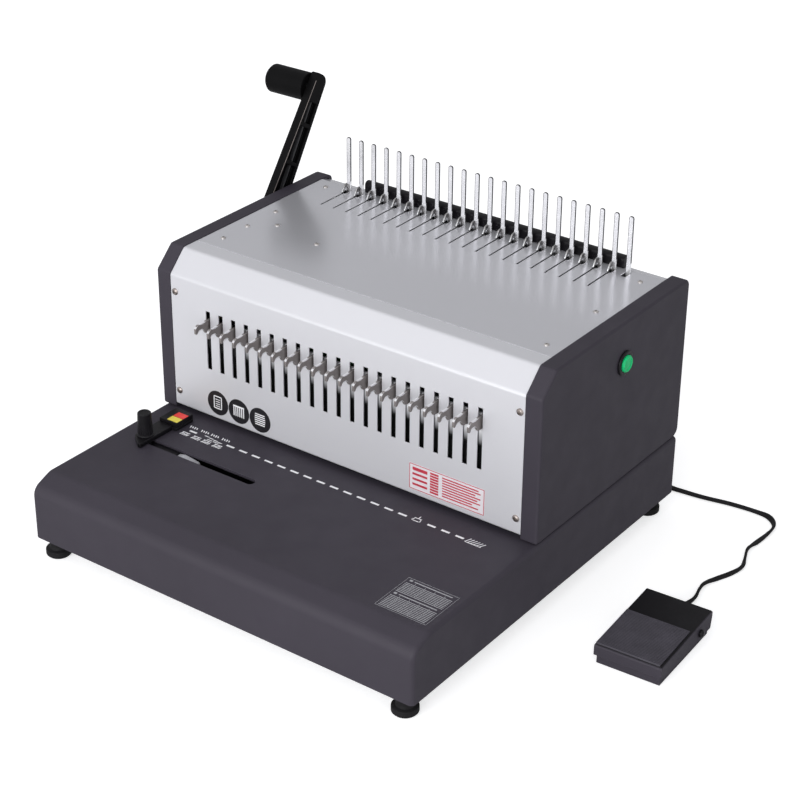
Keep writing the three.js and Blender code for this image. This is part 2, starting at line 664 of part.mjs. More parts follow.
function tineComb() {
  const half = TINE.width / 2;
  const strip = (x) => alongY([
    [x - half, 210], [x + half, 210], [x + half, TINE.top - 1.4], [x + half - 1.2, TINE.top],
    [x - half + 1.2, TINE.top], [x - half, TINE.top - 1.4],
  ], TINE.y - TINE.thickness / 2, TINE.y + TINE.thickness / 2);
  const rail = block([-160, 160], [TINE.y - 0.6, TINE.y + 0.6], [206, 222]);
  const flange = block([-160, 160], [TINE.y - 0.6, TINE.y + 4.4], [220, 221.5]);
  return join(rail, flange, ...each(HOLES + 1, (i) => strip(tineX(i))));
}

function combRestBar() {
  const outline = [
    [212, 227.3], [BEND + 0.2, 227.3], [220.5, 225.6], [220.5, 235], [219.2, 236.9], [216.3, 237.8],
    [213.3, 236.9], [212, 235],
  ];
  return alongX(outline, -133, 145);
}

add('top_hook_carriage', topHookCarriage(), CHROME);
add('front_hook_carriage', frontHookCarriage(), STEEL);
add('tine_comb', tineComb(), CHROME);
add('comb_rest_bar', combRestBar(), BLACK_PLASTIC);

// ---------------------------------------------------------------- handle

const grip = {
  y: OPENER.y + HANDLE.reach * Math.sin(HANDLE.lean),
  z: OPENER.z + HANDLE.reach * Math.cos(HANDLE.lean),
};

const armFront = (along) => 0.0762 * (along - 20) - 16.5; // the arm's tapering front edge
const ARM = { back: 12, end: 174 };

// Outline in the arm's own (across, along) directions, with the shaft at the origin.
function armOutline(hub) {
  return [
    ...arcPoints(0, 0, hub, 200, 335, 8),
    [ARM.back, 20],
    ...arcPoints(ARM.back - 8, ARM.end - 8, 8, 0, 90, 4),
    ...arcPoints(armFront(ARM.end) + 2.5, ARM.end - 2.5, 2.5, 90, 180, 2),
    [armFront(20), 20],
  ];
}

function leaned(outline) {
  const sin = Math.sin(HANDLE.lean);
  const cos = Math.cos(HANDLE.lean);
  return outline.map(([across, along]) => [
    OPENER.y + across * cos + along * sin,
    OPENER.z - across * sin + along * cos,
  ]);
}

function handleArm() {
  const outer = HANDLE.inner - HANDLE.thickness;
  const bar = alongX(leaned(armOutline(16)), outer, HANDLE.inner);
  const hub = rodX(OPENER.y, OPENER.z, 13, HANDLE.inner - 1, -CAP_FACE - 0.4);
  const stub = rodX(grip.y, grip.z, 6, outer - 40, outer + 1);
  const bays = [[16, 46], [50, 84], [88, 122], [126, 150]].map(([low, high]) => alongX(
    leaned([[armFront(low) + 3.2, low], [8.4, low], [8.4, high], [armFront(high) + 3.2, high]]),
    HANDLE.inner - 4.5, HANDLE.inner + 1,
  ));
  return cut(join(bar, hub, stub), rodX(OPENER.y, OPENER.z, 6.05, -220, -190), ...bays);
}

function handleGrip() {
  const start = HANDLE.inner - HANDLE.thickness - GAP;
  const length = GRIP.length - HANDLE.thickness;
  const tube = turned([
    [0, 0], [GRIP.radius - 0.4, 0], [GRIP.radius, 0.8], [GRIP.radius, length - 3],
    [GRIP.radius - 1, length - 0.9], [GRIP.radius - 3, length], [0, length],
  ]).rotateY(-Math.PI / 2).translate(start, grip.y, grip.z);
  return cut(tube, rodX(grip.y, grip.z, 6.2, start - 40.4, start + 1));
}

function handleScrew() {
  const start = HANDLE.inner - HANDLE.thickness - 1.8;
  return turned([[0, 0], [8, 0], [8, 1.5], [5.2, 3.4], [0, 3.6]], 20)
    .rotateY(-Math.PI / 2).translate(start, OPENER.y, OPENER.z);
}

add('handle_arm', handleArm(), BLACK_PLASTIC);
add('handle_grip', handleGrip(), BLACK_PLASTIC);
add('handle_screw', handleScrew(), CHROME);

// ---------------------------------------------------------------- paper edge guide

function edgeGuideCarrier() {
  const outline = [[-175.6, -75], [-160, -75], [-159.5, -34], [-155, -34], [-155, -11], [-175.6, -11]];
  const plate = alongZ(outline, 75.8, 78.4);
  const pad = block([-175.6, -159.8], [-75, -34], [78, 80]);
  const corner = alongZ([[-176, -76], [-163, -76], [-163, -75], [-176, -65]], 75, 81);
  const tongue = block([-172.5, -162.5], [-62.8, -57.2], [68, 76.5]);
  const slider = block([-174.5, -132.1], [-70, -50], [66.5, 72.4]);
  return cut(join(plate, pad, tongue, slider), corner, rodZ(KNOB.x, KNOB.y, 2.3, 60, 81, 12));
}

function edgeGuideStop() {
  const outline = [
    [-175, 78.7], [-155, 78.7], [-155, 82.8], [-155.8, 83.6], [-174.2, 83.6], [-175, 82.8],
  ];
  return alongY(outline, -33.5, -11.5);
}

function edgeGuideKnob() {
  const body = turned([
    [0, 72.8], [2, 72.8], [2, 80.3], [7.6, 80.3], [7.6, 81.4], [6.9, 81.8], [6.1, 102], [5.4, 102.8],
    [4.6, 102.8], [4, 101.9], [0, 101.9],
  ], 14);
  return body.translate(KNOB.x, KNOB.y, 0);
}

add('edge_guide_carrier', edgeGuideCarrier(), BLACK_PLASTIC);
add('edge_guide_stop', edgeGuideStop(), BLACK_PLASTIC);
add('edge_guide_knob', edgeGuideKnob(), BLACK_PLASTIC);
add('edge_guide_clip', block([-131.8, -109], [-65, -55], [67, 72.4]), colour(0xd8d8da, 0.5));

// ---------------------------------------------------------------- chip drawer

function chipDrawer() {
  const left = BASE_CENTRE - HALF_WIDTH;
  const tray = block([left + 2, DRAWER.end], [DRAWER.front, DRAWER.back], [DRAWER.bottom + 1, DRAWER.top]);
  const hollow = block(
    [left + 4.5, DRAWER.end - 2], [DRAWER.front + 2, DRAWER.back - 2], [DRAWER.bottom + 3, DRAWER.top + 1],
  );
  const face = block(
    [left, left + 2.5], [DRAWER.front - 1.4, DRAWER.back + 1.4], [DRAWER.bottom + 0.6, DRAWER.top + 1.4],
  );
  const pull = block([left - 1, left + 1.4], [12, 48], [36, 50]);
  return cut(join(tray, face), hollow, pull);
}

add('chip_drawer', chipDrawer(), BLACK_PLASTIC);

// ---------------------------------------------------------------- start button and sockets

function startButtonBezel() {
  const ring = turned([[0, -12], [8.8, -12], [8.8, 0.3], [11, 0.3], [11, 1.4], [10.2, 2.2], [0, 2.2]], 20)
    .rotateY(Math.PI / 2).translate(CAP_FACE, BUTTON.y, BUTTON.z);
  return cut(ring, rodX(BUTTON.y, BUTTON.z, BUTTON.radius - 0.6, CAP_FACE - 14, CAP_FACE + 4, 20));
}

function startButton() {
  const radius = BUTTON.radius - 1;
  const profile = [
    [0, -9], [radius, -9], [radius, 3], [radius - 1, 3.8], [radius - 3.5, 4.2], [0, 4.3],
  ];
  return turned(profile, 20).rotateY(Math.PI / 2).translate(CAP_FACE, BUTTON.y, BUTTON.z);
}

function startSwitch() {
  const back = FRAME_PLATE[1] + 0.4;
  const front = CAP_FACE - 14.6;
  const body = block([back, front], [BUTTON.y - 8, BUTTON.y + 8], [BUTTON.z - 6, BUTTON.z + 6]);
  return join(body, rodX(BUTTON.y, BUTTON.z, 1.6, front - 0.4, CAP_FACE - 13.2, 10));
}

function powerInlet() {
  const body = block([INLET.x - 13.2, INLET.x + 13.2], [BACK - 20, BACK], [INLET.z - 9.6, INLET.z + 9.6]);
  const flange = block([INLET.x - 16, INLET.x + 16], [BACK + 0.3, BACK + 2.3], [INLET.z - 12, INLET.z + 12]);
  const neck = block([INLET.x - 13, INLET.x + 13], [BACK - 2, BACK + 1], [INLET.z - 9.4, INLET.z + 9.4]);
  const well = block([INLET.x - 11.5, INLET.x + 11.5], [BACK - 14, BACK + 4], [INLET.z - 7.5, INLET.z + 7.5]);
  const pins = [[-7, -1], [0, 2], [7, -1]].map(([x, z]) => block(
    [INLET.x + x - 1, INLET.x + x + 1], [BACK - 16, BACK - 3], [INLET.z + z - 2, INLET.z + z + 2],
  ));
  return join(cut(join(body, flange, neck), well), ...pins);
}

function pedalSocket() {
  const bush = turned([[0, -7], [5, -7], [5, 0.3], [8, 0.3], [8, 2.4], [5.6, 3.4], [0, 3.4]], 20)
    .rotateX(-Math.PI / 2).translate(SOCKET.x, BACK, SOCKET.z);
  return cut(bush, rodY(SOCKET.x, SOCKET.z, 3.4, BACK - 5, BACK + 5, 16));
}

add('start_button_bezel', startButtonBezel(), BLACK_PLASTIC);
add('start_button', startButton(), colour(0x2ebe6e, 0.35));
add('start_switch', startSwitch(), BLACK_PLASTIC);
add('power_inlet', powerInlet(), BLACK_PLASTIC);
add('pedal_socket', pedalSocket(), BLACK_PLASTIC);

// ---------------------------------------------------------------- foot pedal

const pedal = new THREE.Group();
pedal.position.set(PEDAL.x, PEDAL.y, 0);
pedal.rotation.z = PEDAL.turn;
machine.add(pedal);

function pedalBase() {
  const half = TREADLE.halfWidth - 2;
  const front = TREADLE.front + 2;
  const back = TREADLE.back - 3;
  const floor = block([-half, half], [front, back], [0, 1.6]);
  const wallOutline = [[front, 0], [back, 0], [back, 14], [16, 16], [-10, 12], [front, 10.5]];
  const walls = [[-half, -half + TREADLE.wall], [half - TREADLE.wall, half]]
    .map(([x0, x1]) => alongX(wallOutline, x0, x1));
  const nose = block([-half, half], [front, front + TREADLE.wall], [0, 10.5]);
  const rear = block([-half, half], [back - TREADLE.wall, back], [0, 14]);
  const pinHole = rodX(PEDAL_PIVOT.y, PEDAL_PIVOT.z, 1.5 + GAP / 2, -40, 40, 16);
  const cableHole = rodY(-8, 7, 4.6, TREADLE.back - 8, TREADLE.back, 16);
  return cut(join(floor, ...walls, nose, rear), pinHole, cableHole);
}

const treadleTop = (y) => 18 + (y - TREADLE.front) * 3.4 / (TREADLE.back - TREADLE.front);

function pedalTreadle() {
  const { front, back, halfWidth, wall } = TREADLE;
  const outside = [[front, 8.4], [front + 14, 5.6], [back - 2, 5.6], [back, 16], [back, treadleTop(back)],
    [front + 1.6, treadleTop(front)], [front, treadleTop(front) - 1.6]];
  const inside = [[front + wall, 0], [back + 1, 0], [back + 1, treadleTop(back) - wall],
    [front + wall, treadleTop(front) - wall]];
  return cut(
    alongX(outside, -halfWidth, halfWidth),
    alongX(inside, -halfWidth + wall, halfWidth - wall),
    rodX(PEDAL_PIVOT.y, PEDAL_PIVOT.z, 1.5 + GAP / 2, -40, 40, 16),
  );
}

function pedalPad() {
  const { front, halfWidth } = TREADLE;
  const back = 9;
  const low = (y) => treadleTop(y) + GAP;
  const outline = [[front + 2.4, low(front + 2.4)], [back, low(back)], [back, low(back) + 1.5],
    [front + 3, low(front + 3) + 1.5], [front + 2.4, low(front + 2.4) + 0.9]];
  return alongX(outline, -halfWidth + 1.5, halfWidth - 1.5);
}

function pedalPin() {
  const reach = TREADLE.halfWidth;
  const pin = rodX(PEDAL_PIVOT.y, PEDAL_PIVOT.z, 1.5, -reach - 2, reach + 2, 16);
  const heads = [[-reach - 3.8, -reach - 0.4], [reach + 0.4, reach + 3.8]]
    .map(([x0, x1]) => rodX(PEDAL_PIVOT.y, PEDAL_PIVOT.z, 3.4, x0, x1, 16));
  return join(pin, ...heads);
}

// A flat cable swept along a curve, lying level: `half` is half its width and `round` its edge radius.
function flatCable(curve, steps, half, round) {
  const section = [
    ...arcPoints(half - round, 0, round, -90, 90, 3), ...arcPoints(round - half, 0, round, 90, 270, 3),
  ];
  const count = section.length;
  const position = [];
  const index = [];
  for (let step = 0; step <= steps; step += 1) {
    const point = curve.getPointAt(step / steps);
    const tangent = curve.getTangentAt(step / steps);
    const side = new THREE.Vector3().crossVectors(tangent, Z_AXIS).normalize();
    const up = new THREE.Vector3().crossVectors(side, tangent);
    for (const [a, b] of section) {
      position.push(...point.clone().addScaledVector(side, a).addScaledVector(up, b).toArray());
    }
  }
  for (let step = 0; step < steps; step += 1) {
    for (let corner = 0; corner < count; corner += 1) {
      const here = step * count + corner;
      const next = step * count + (corner + 1) % count;
      index.push(here, here + count, next, next, here + count, next + count);
    }
  }
  for (let corner = 1; corner < count - 1; corner += 1) {
    index.push(0, corner, corner + 1);
    index.push(steps * count, steps * count + corner + 1, steps * count + corner);
  }
  const geometry = new THREE.BufferGeometry();
  geometry.setAttribute('position', new THREE.Float32BufferAttribute(position, 3));
  geometry.setIndex(index);
  return geometry;
}

function pedalCable() {
  const lying = 1.6;
  const points = [
    [SOCKET.x, BACK - 3, SOCKET.z], [SOCKET.x, BACK + 9, SOCKET.z - 2], [SOCKET.x + 2, BACK + 19, 27],
    [SOCKET.x + 6, BACK + 25, 10], [SOCKET.x + 16, BACK + 28, lying + 0.8], [198, 257.5, lying],
    [217, 259.5, lying], [242, 264.5, lying], [266, 266.5, lying], [280, 263.5, lying], [290, 253, lying],
    [291.6, 238, lying], [290, 220, lying], [289.4, 205, lying], [294.5, 190, lying], [298.5, 177, lying],
    [295.5, 164, lying], [290, 150, lying], [285.4, 136, lying], [286.4, 124, lying], [289, 112, lying],
    [288.6, 100, 2.4], [287.2, 90, 4.6], [286.3, 80, 6.8], [286.4, 72, 7],
  ].map(([x, y, z]) => new THREE.Vector3(x, y, z));
  return flatCable(new THREE.CatmullRomCurve3(points, false, 'centripetal'), 76, 2.6, 1.3);
}

add('pedal_base', pedalBase(), POWDER, pedal);
add('pedal_treadle', pedalTreadle(), POWDER, pedal);
add('pedal_pad', pedalPad(), RUBBER, pedal);
add('pedal_pivot_pin', pedalPin(), BLACK_PLASTIC, pedal);
add('pedal_spring', spring(0, -26, 4, 0.6, 1.6, treadleTop(-26) - 1.6, 4), CHROME, pedal);
add('pedal_switch', block([-7, 7], [-12, 6], [1.9, 9]), BLACK_PLASTIC, pedal);
add('pedal_cable', pedalCable(), RUBBER);

// ---------------------------------------------------------------- origin at the middle of the footprint

machine.updateMatrixWorld(true);
const bounds = new THREE.Box3().setFromObject(machine, true);
const centre = bounds.getCenter(new THREE.Vector3());
machine.position.set(-centre.x, -centre.y, -bounds.min.z);

export default machine;
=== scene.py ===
"""Looks of a desktop comb binding machine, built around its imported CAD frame.

Shapes are laid out in machine coordinates, in millimetres: X from the middle of the hole row, Y from
the face of the front panel towards the back, Z up from the table. shaped() turns them into the frame's
metres; dress() hangs them on their CAD body and hides the CAD node they stand for.
"""

import json
import math

import bmesh
import bpy
from mathutils import Matrix, Vector

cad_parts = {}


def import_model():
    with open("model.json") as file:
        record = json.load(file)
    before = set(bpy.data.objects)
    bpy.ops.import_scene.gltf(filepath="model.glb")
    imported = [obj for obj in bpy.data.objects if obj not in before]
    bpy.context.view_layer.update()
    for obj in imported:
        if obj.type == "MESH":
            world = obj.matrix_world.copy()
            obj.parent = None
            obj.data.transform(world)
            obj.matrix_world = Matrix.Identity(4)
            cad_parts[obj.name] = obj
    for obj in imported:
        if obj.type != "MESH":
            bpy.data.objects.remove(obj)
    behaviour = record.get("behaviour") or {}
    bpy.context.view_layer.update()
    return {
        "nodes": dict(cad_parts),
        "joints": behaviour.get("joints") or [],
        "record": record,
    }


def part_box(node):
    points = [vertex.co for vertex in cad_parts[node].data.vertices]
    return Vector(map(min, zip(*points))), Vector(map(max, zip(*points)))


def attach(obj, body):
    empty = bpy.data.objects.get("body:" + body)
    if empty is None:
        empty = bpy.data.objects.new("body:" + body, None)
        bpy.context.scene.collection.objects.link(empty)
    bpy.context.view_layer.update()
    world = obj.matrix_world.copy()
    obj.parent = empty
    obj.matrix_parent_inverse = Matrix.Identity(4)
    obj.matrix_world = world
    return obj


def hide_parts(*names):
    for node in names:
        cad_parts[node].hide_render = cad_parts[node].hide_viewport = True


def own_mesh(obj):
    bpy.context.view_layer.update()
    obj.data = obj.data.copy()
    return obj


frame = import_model()

MM = 0.001
PITCH = 14.2875  # plastic comb pitch, 9/16 inch
HOLES = 21
TINE_SHIFT = 1.9  # from halfway between two hooks to the tine behind them
HOLE_X = [(i - (HOLES - 1) / 2) * PITCH for i in range(HOLES)]
TINE_X = [(i - HOLES / 2) * PITCH + TINE_SHIFT for i in range(HOLES + 1)]
SHEET = 1.2

panel_low, panel_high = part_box("front_cover")
ORIGIN = Vector(((panel_low.x + panel_high.x) / 2, panel_low.y, 0))
JOINTS = {joint["name"]: joint for joint in frame["joints"]}
SLOT_OF = {part["node"]: part["material_slot"] for part in frame["record"]["subparts"]}


def box_of(node):
    """Lowest and highest corner of a CAD node in machine millimetres."""
    low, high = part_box(node)
    return (low - ORIGIN) / MM, (high - ORIGIN) / MM


def middle_of(node):
    low, high = box_of(node)
    return (low + high) / 2


def pivot_of(joint):
    return (Vector(JOINTS[joint]["pos_m"]) - ORIGIN) / MM


# ---------------------------------------------------------------- materials


class Nodes:
    """A node tree whose nodes are added one call at a time."""

    def __init__(self, tree):
        self.tree = tree

    def add(self, kind, **settings):
        node = self.tree.nodes.new(kind)
        for key, value in settings.items():
            setattr(node, key, value)
        return node

    def put(self, value, socket):
        """Links an output to the socket or sets the socket's own value; colours become opaque."""
        if hasattr(value, "is_output"):
            self.tree.links.new(value, socket)
        elif socket.type == "RGBA":
            socket.default_value = (*value, 1)
        else:
            socket.default_value = value

    def feed(self, node, *values, **named):
        """Fills a node's first inputs in order, then the named ones; underscores stand for spaces."""
        for socket, value in zip(node.inputs, values):
            self.put(value, socket)
        for key, value in named.items():
            self.put(value, node.inputs[key.replace("_", " ")])
        return node

    def maths(self, operation, first, second):
        return self.feed(self.add("ShaderNodeMath", operation=operation), first, second).outputs["Value"]

    def span(self, value, *limits):
        """Maps a value from one range to another: limits are from low, from high, to low, to high."""
        return self.feed(self.add("ShaderNodeMapRange"), value, *limits).outputs["Result"]

    def coordinate(self, vector, axis):
        return self.feed(self.add("ShaderNodeSeparateXYZ"), vector).outputs[axis]

    def camera_ray(self):
        return self.add("ShaderNodeLightPath").outputs["Is Camera Ray"]


class Shader(Nodes):
    """The nodes of a new Principled material."""

    def __init__(self, name):
        self.material = bpy.data.materials.new(name)
        self.material.use_nodes = True
        super().__init__(self.material.node_tree)
        self.surface = self.tree.nodes["Principled BSDF"]
        self.place = self.add("ShaderNodeTexCoord").outputs["Object"]

    def noise(self, scale, detail=3.0, stretch=None):
        place = self.place
        if stretch:
            place = self.feed(self.add("ShaderNodeMapping"), place, Scale=stretch).outputs["Vector"]
        node = self.feed(self.add("ShaderNodeTexNoise"), place, Scale=scale, Detail=detail)
        return node.outputs["Fac"]

    def mix(self, factor, first, second):
        node = self.feed(self.add("ShaderNodeMix", data_type="RGBA"), factor)
        self.put(first, node.inputs[6])
        self.put(second, node.inputs[7])
        return node.outputs[2]

    def edges(self, radius):
        """1 on convex edges and corners, 0 on flats."""
        bevel = self.feed(self.add("ShaderNodeBevel", samples=4), radius)
        flat = self.add("ShaderNodeNewGeometry").outputs["Normal"]
        dot = self.add("ShaderNodeVectorMath", operation="DOT_PRODUCT")
        self.feed(dot, bevel.outputs["Normal"], flat)
        return self.span(dot.outputs["Value"], 0.995, 0.9, 0, 1)

    def bump(self, height, strength, distance):
        node = self.feed(self.add("ShaderNodeBump"), Height=height, Strength=strength, Distance=distance)
        self.put(node.outputs["Normal"], self.surface.inputs["Normal"])


def shade(colour, amount):
    return tuple(min(1, max(0, channel * amount)) for channel in colour)


def finish_of(name, colour, rough, mottle, grain, metal=0.0, edge_wear_and_glint=None, stretch=None,
              specular=0.5, patchy=0.06):
    """Colour clouded by `mottle` = (scale, amount), roughness that varies by `patchy`, a fine bump
    `grain` = (scale, strength, depth) and `edge_wear_and_glint` = (colour, amount, radius) along the edges:
    rubbed wear on most finishes, a painted highlight on the hook steel."""
    shader = Shader(name)
    scale, amount = mottle
    clouds = shader.span(shader.noise(scale, 4, stretch), 0.3, 0.7, 0, 1)
    tone = shader.mix(clouds, shade(colour, 1 - amount), shade(colour, 1 + amount))
    patches = shader.noise(scale * 4.7, 2, stretch)
    roughness = shader.span(patches, 0.2, 0.8, max(0.02, rough - patchy), min(1, rough + patchy))
    # edge colour: a painted highlight on the hook steel, rubbed wear on the other finishes
    if edge_wear_and_glint:
        worn_and_glint_colour, most, radius = edge_wear_and_glint
        wear_and_glint_patches = shader.span(shader.noise(160, 2), 0.35, 0.65, 0.25 * most, most)
        tone = shader.mix(shader.maths("MULTIPLY", shader.edges(radius), wear_and_glint_patches), tone, worn_and_glint_colour)
    shader.feed(shader.surface, Base_Color=tone, Roughness=roughness, Metallic=metal,
                Specular_IOR_Level=specular)
    if grain:
        fine, strength, depth = grain
        shader.bump(shader.noise(fine, 2, stretch), strength, depth * MM)
    return shader.material


POWDER = finish_of("powder_coat", (0.0350, 0.0300, 0.0415), 0.6, (9, 0.07), (2600, 0.35, 0.09),
                   edge_wear_and_glint=((0.10, 0.095, 0.11), 0.35, 0.0006), specular=0.35)
SILVER = finish_of("silver_paint", (0.69, 0.69, 0.725), 0.22, (9, 0.01), (5200, 0.03, 0.015), 0.6,
                   edge_wear_and_glint=((0.93, 0.93, 0.95), 0.35, 0.0004), patchy=0.01)
SATIN = finish_of("satin_silver_paint", (0.66, 0.66, 0.69), 0.42, (9, 0.01), (5200, 0.05, 0.02), 0.35,
                  edge_wear_and_glint=((0.93, 0.93, 0.95), 0.35, 0.0004), patchy=0.01)
STEEL = finish_of("steel", (0.42, 0.41, 0.41), 0.34, (60, 0.16), (900, 0.12, 0.03), 0.95,
                  edge_wear_and_glint=((0.75, 0.74, 0.73), 0.5, 0.0004), stretch=(1, 9, 9))
BRIGHT = finish_of("bright_steel", (0.80, 0.81, 0.83), 0.12, (110, 0.05), (420, 0.06, 0.04), 1.0)
SPRUNG = finish_of("tine_steel", (0.90, 0.90, 0.92), 0.25, (110, 0.05), (420, 0.06, 0.04), 0.55)
# near-black steel for the tine edge strips: painted dark reflection along the tines' edges
TINE_EDGE_PAINTED_REFLECTION = finish_of("rim_steel", (0.05, 0.05, 0.055), 0.4, (110, 0.1), (900, 0.1, 0.03), 0.4)
# the near-white edge colour here is a painted highlight, the glint along the hooks' edges and tips
HOOK_STEEL_WITH_GLINT = finish_of("hook_steel", (0.225, 0.203, 0.197), 0.4, (60, 0.08), (900, 0.12, 0.03), 0.4,
                       edge_wear_and_glint=((0.85, 0.83, 0.81), 0.9, 0.0004))
SCREW_STEEL = finish_of("screw_steel", (0.33, 0.29, 0.27), 0.3, (200, 0.15), (900, 0.1, 0.03), 0.9)
TOP_SCREW_STEEL = finish_of("top_screw_steel", (0.56, 0.53, 0.51), 0.3, (200, 0.15), (900, 0.1, 0.03), 0.8)
finish_of("gear_brass", (0.60, 0.44, 0.17), 0.32, (70, 0.18), (1500, 0.12, 0.03), 1.0,
          edge_wear_and_glint=((0.85, 0.68, 0.35), 0.6, 0.0003))
BLACK = finish_of("black_plastic", (0.0050, 0.0044, 0.0058), 0.45, (60, 0.2), (1900, 0.22, 0.05),
                  edge_wear_and_glint=((0.035, 0.034, 0.04), 0.5, 0.0005), specular=0.25)
GLOSSY_BLACK = finish_of("glossy_black_plastic", (0.0050, 0.0042, 0.0058), 0.3, (40, 0.2), (1400, 0.08, 0.03),
                         edge_wear_and_glint=((0.06, 0.058, 0.065), 0.6, 0.0004), specular=0.25)
WHITE = finish_of("white_plastic", (0.52, 0.52, 0.55), 0.42, (90, 0.06), (2200, 0.15, 0.04))
GREEN = finish_of("green_plastic", (0.004, 0.52, 0.17), 0.34, (130, 0.10), (900, 0.08, 0.03), specular=0.3)
HANDLE_BLACK = finish_of("handle_black", (0.0018, 0.0017, 0.0020), 0.5, (60, 0.2), (1900, 0.15, 0.04),
                         edge_wear_and_glint=((0.02, 0.02, 0.022), 0.5, 0.0005), specular=0.10)
# the rib's grey is a painted reflection: the black moulding's rib shown lighter
RIB_PAINTED_REFLECTION = finish_of("rib_grey", (0.030, 0.030, 0.032), 0.4, (60, 0.2), (1900, 0.15, 0.04), specular=0.3)
RUBBER = finish_of("rubber", (0.0065, 0.006, 0.007), 0.7, (80, 0.2), (2400, 0.4, 0.06),
                   edge_wear_and_glint=((0.03, 0.03, 0.032), 0.5, 0.0006), specular=0.25)
RIBBED_RUBBER = finish_of("ribbed_rubber", (0.046, 0.042, 0.054), 0.62, (70, 0.15), (2400, 0.4, 0.05),
                          specular=0.3)
finish_of("circuit", (0.03, 0.15, 0.06), 0.4, (260, 0.35), (700, 0.2, 0.1))
WHITE_INK = finish_of("white_ink", (0.80, 0.80, 0.82), 0.55, (700, 0.08), (3000, 0.2, 0.02))
GREY_INK = finish_of("grey_ink", (0.36, 0.36, 0.38), 0.55, (700, 0.08), (3000, 0.2, 0.02))
RED_INK = finish_of("red_ink", (0.46, 0.030, 0.055), 0.5, (700, 0.10), (3000, 0.2, 0.02))
PALE_INK = finish_of("pale_label", (0.66, 0.63, 0.66), 0.5, (200, 0.04), (3000, 0.15, 0.02))
BLACK_INK = finish_of("black_ink", (0.008, 0.007, 0.010), 0.42, (300, 0.2), (3000, 0.2, 0.02))
RED_LABEL = finish_of("red_label", (0.80, 0.045, 0.035), 0.4, (400, 0.07), (2000, 0.2, 0.03))
YELLOW_LABEL = finish_of("yellow_label", (0.82, 0.68, 0.09), 0.4, (400, 0.07), (2000, 0.2, 0.03))


def hook_plate():
    """Steel that is bright on the claws and just below them. Behind the panel it carries painted shade:
    it is painted near black further down and at the left end of the row, where it lies in shadow."""
    shader = Shader("hook_plate")
    position = shader.add("ShaderNodeNewGeometry").outputs["Position"]

    def past(axis, start, end):
        """0 before start and 1 past end, in machine millimetres along X, Y or Z."""
        origin = getattr(ORIGIN, axis.lower())
        return shader.span(shader.coordinate(position, axis), origin + start * MM, origin + end * MM, 0, 1)

    below_claws, leftmost, behind_panel = past("Z", 161, 149), past("X", -103, -108), past("Y", -1, 0.5)
    # painted shade: near black on the plate below the claws and at the left end, behind the panel only
    painted_dark_mask = shader.maths("MULTIPLY", behind_panel, shader.maths("MAXIMUM", below_claws, leftmost))
    steel = shader.mix(shader.noise(60), (0.66, 0.66, 0.68), (0.74, 0.74, 0.76))
    tone = shader.mix(painted_dark_mask, steel, (0.003, 0.003, 0.003))
    shader.feed(shader.surface, Base_Color=tone, Metallic=0.4, Roughness=0.45)
    return shader.material


HOOK_PLATE_WITH_PAINTED_SHADE = hook_plate()
FINISHES = {material.name: material for material in bpy.data.materials}


# ---------------------------------------------------------------- mesh building


def fillet(corners, closed=True, steps=6):
    """Points of a path through (a, b, radius) corners with each corner rounded by its radius."""
    points = []
    last = len(corners) - 1
    for index, (a, b, radius) in enumerate(corners):
        here = Vector((a, b))
        if not radius or (not closed and index in (0, last)):
            points.append(here)
            continue
        before = (Vector(corners[index - 1][:2]) - here).normalized()
        after = (Vector(corners[(index + 1) % len(corners)][:2]) - here).normalized()
        half = before.angle(after) / 2
        centre = here + (before + after).normalized() * (radius / math.sin(half))
        start = here + before * (radius / math.tan(half)) - centre
        end = here + after * (radius / math.tan(half)) - centre
        first = math.atan2(start.y, start.x)
        sweep = (math.atan2(end.y, end.x) - first + math.pi) % (2 * math.pi) - math.pi
        for step in range(steps + 1):
            angle = first + sweep * step / steps
            points.append(centre + radius * Vector((math.cos(angle), math.sin(angle))))
    return points


def circle(a, b, radius, steps=32):
    angles = [2 * math.pi * step / steps for step in range(steps)]
    return [Vector((a + radius * math.cos(t), b + radius * math.sin(t))) for t in angles]


def box_path(low_a, low_b, high_a, high_b, radius=0.0):
    corners = ((low_a, low_b), (high_a, low_b), (high_a, high_b), (low_a, high_b))
    return fillet([(a, b, radius) for a, b in corners], steps=4)


def inset(points, distance):
    """A closed polygon moved inwards by distance; its points run anticlockwise."""
    moved = []
    for index, here in enumerate(points):
        before = (here - points[index - 1]).normalized()
        after = (points[(index + 1) % len(points)] - here).normalized()
        normal = Vector((-before.y - after.y, before.x + after.x)).normalized()
        lean = max(0.2, normal.dot(Vector((-after.y, after.x))))
        moved.append(here + normal * (distance / lean))
    return moved


def spot(axis, point, along):
    """A point of an outline: (y, z) outlines run along x, (x, z) along y and (x, y) along z."""
    a, b = point
    return Vector({"x": (along, a, b), "y": (a, along, b), "z": (a, b, along)}[axis])


def band(bm, near, far):
    """Quads between two closed loops of equally many vertices."""
    count = len(near)
    for index in range(count):
        after = (index + 1) % count
        bm.faces.new((near[index], near[after], far[after], far[index]))


def loft(bm, rings):
    """Joins closed rings of equally many points with quads and closes both ends."""
    loops = [[bm.verts.new(point) for point in ring] for ring in rings]
    for near, far in zip(loops, loops[1:]):
        band(bm, near, far)
    bm.faces.new(loops[0][::-1])
    bm.faces.new(loops[-1])


def prism(bm, outline, axis, low, high):
    loft(bm, [[spot(axis, point, along) for point in outline] for along in (low, high)])


def block(bm, low, high, radius=0.0):
    prism(bm, box_path(low[0], low[1], high[0], high[1], radius), "z", low[2], high[2])


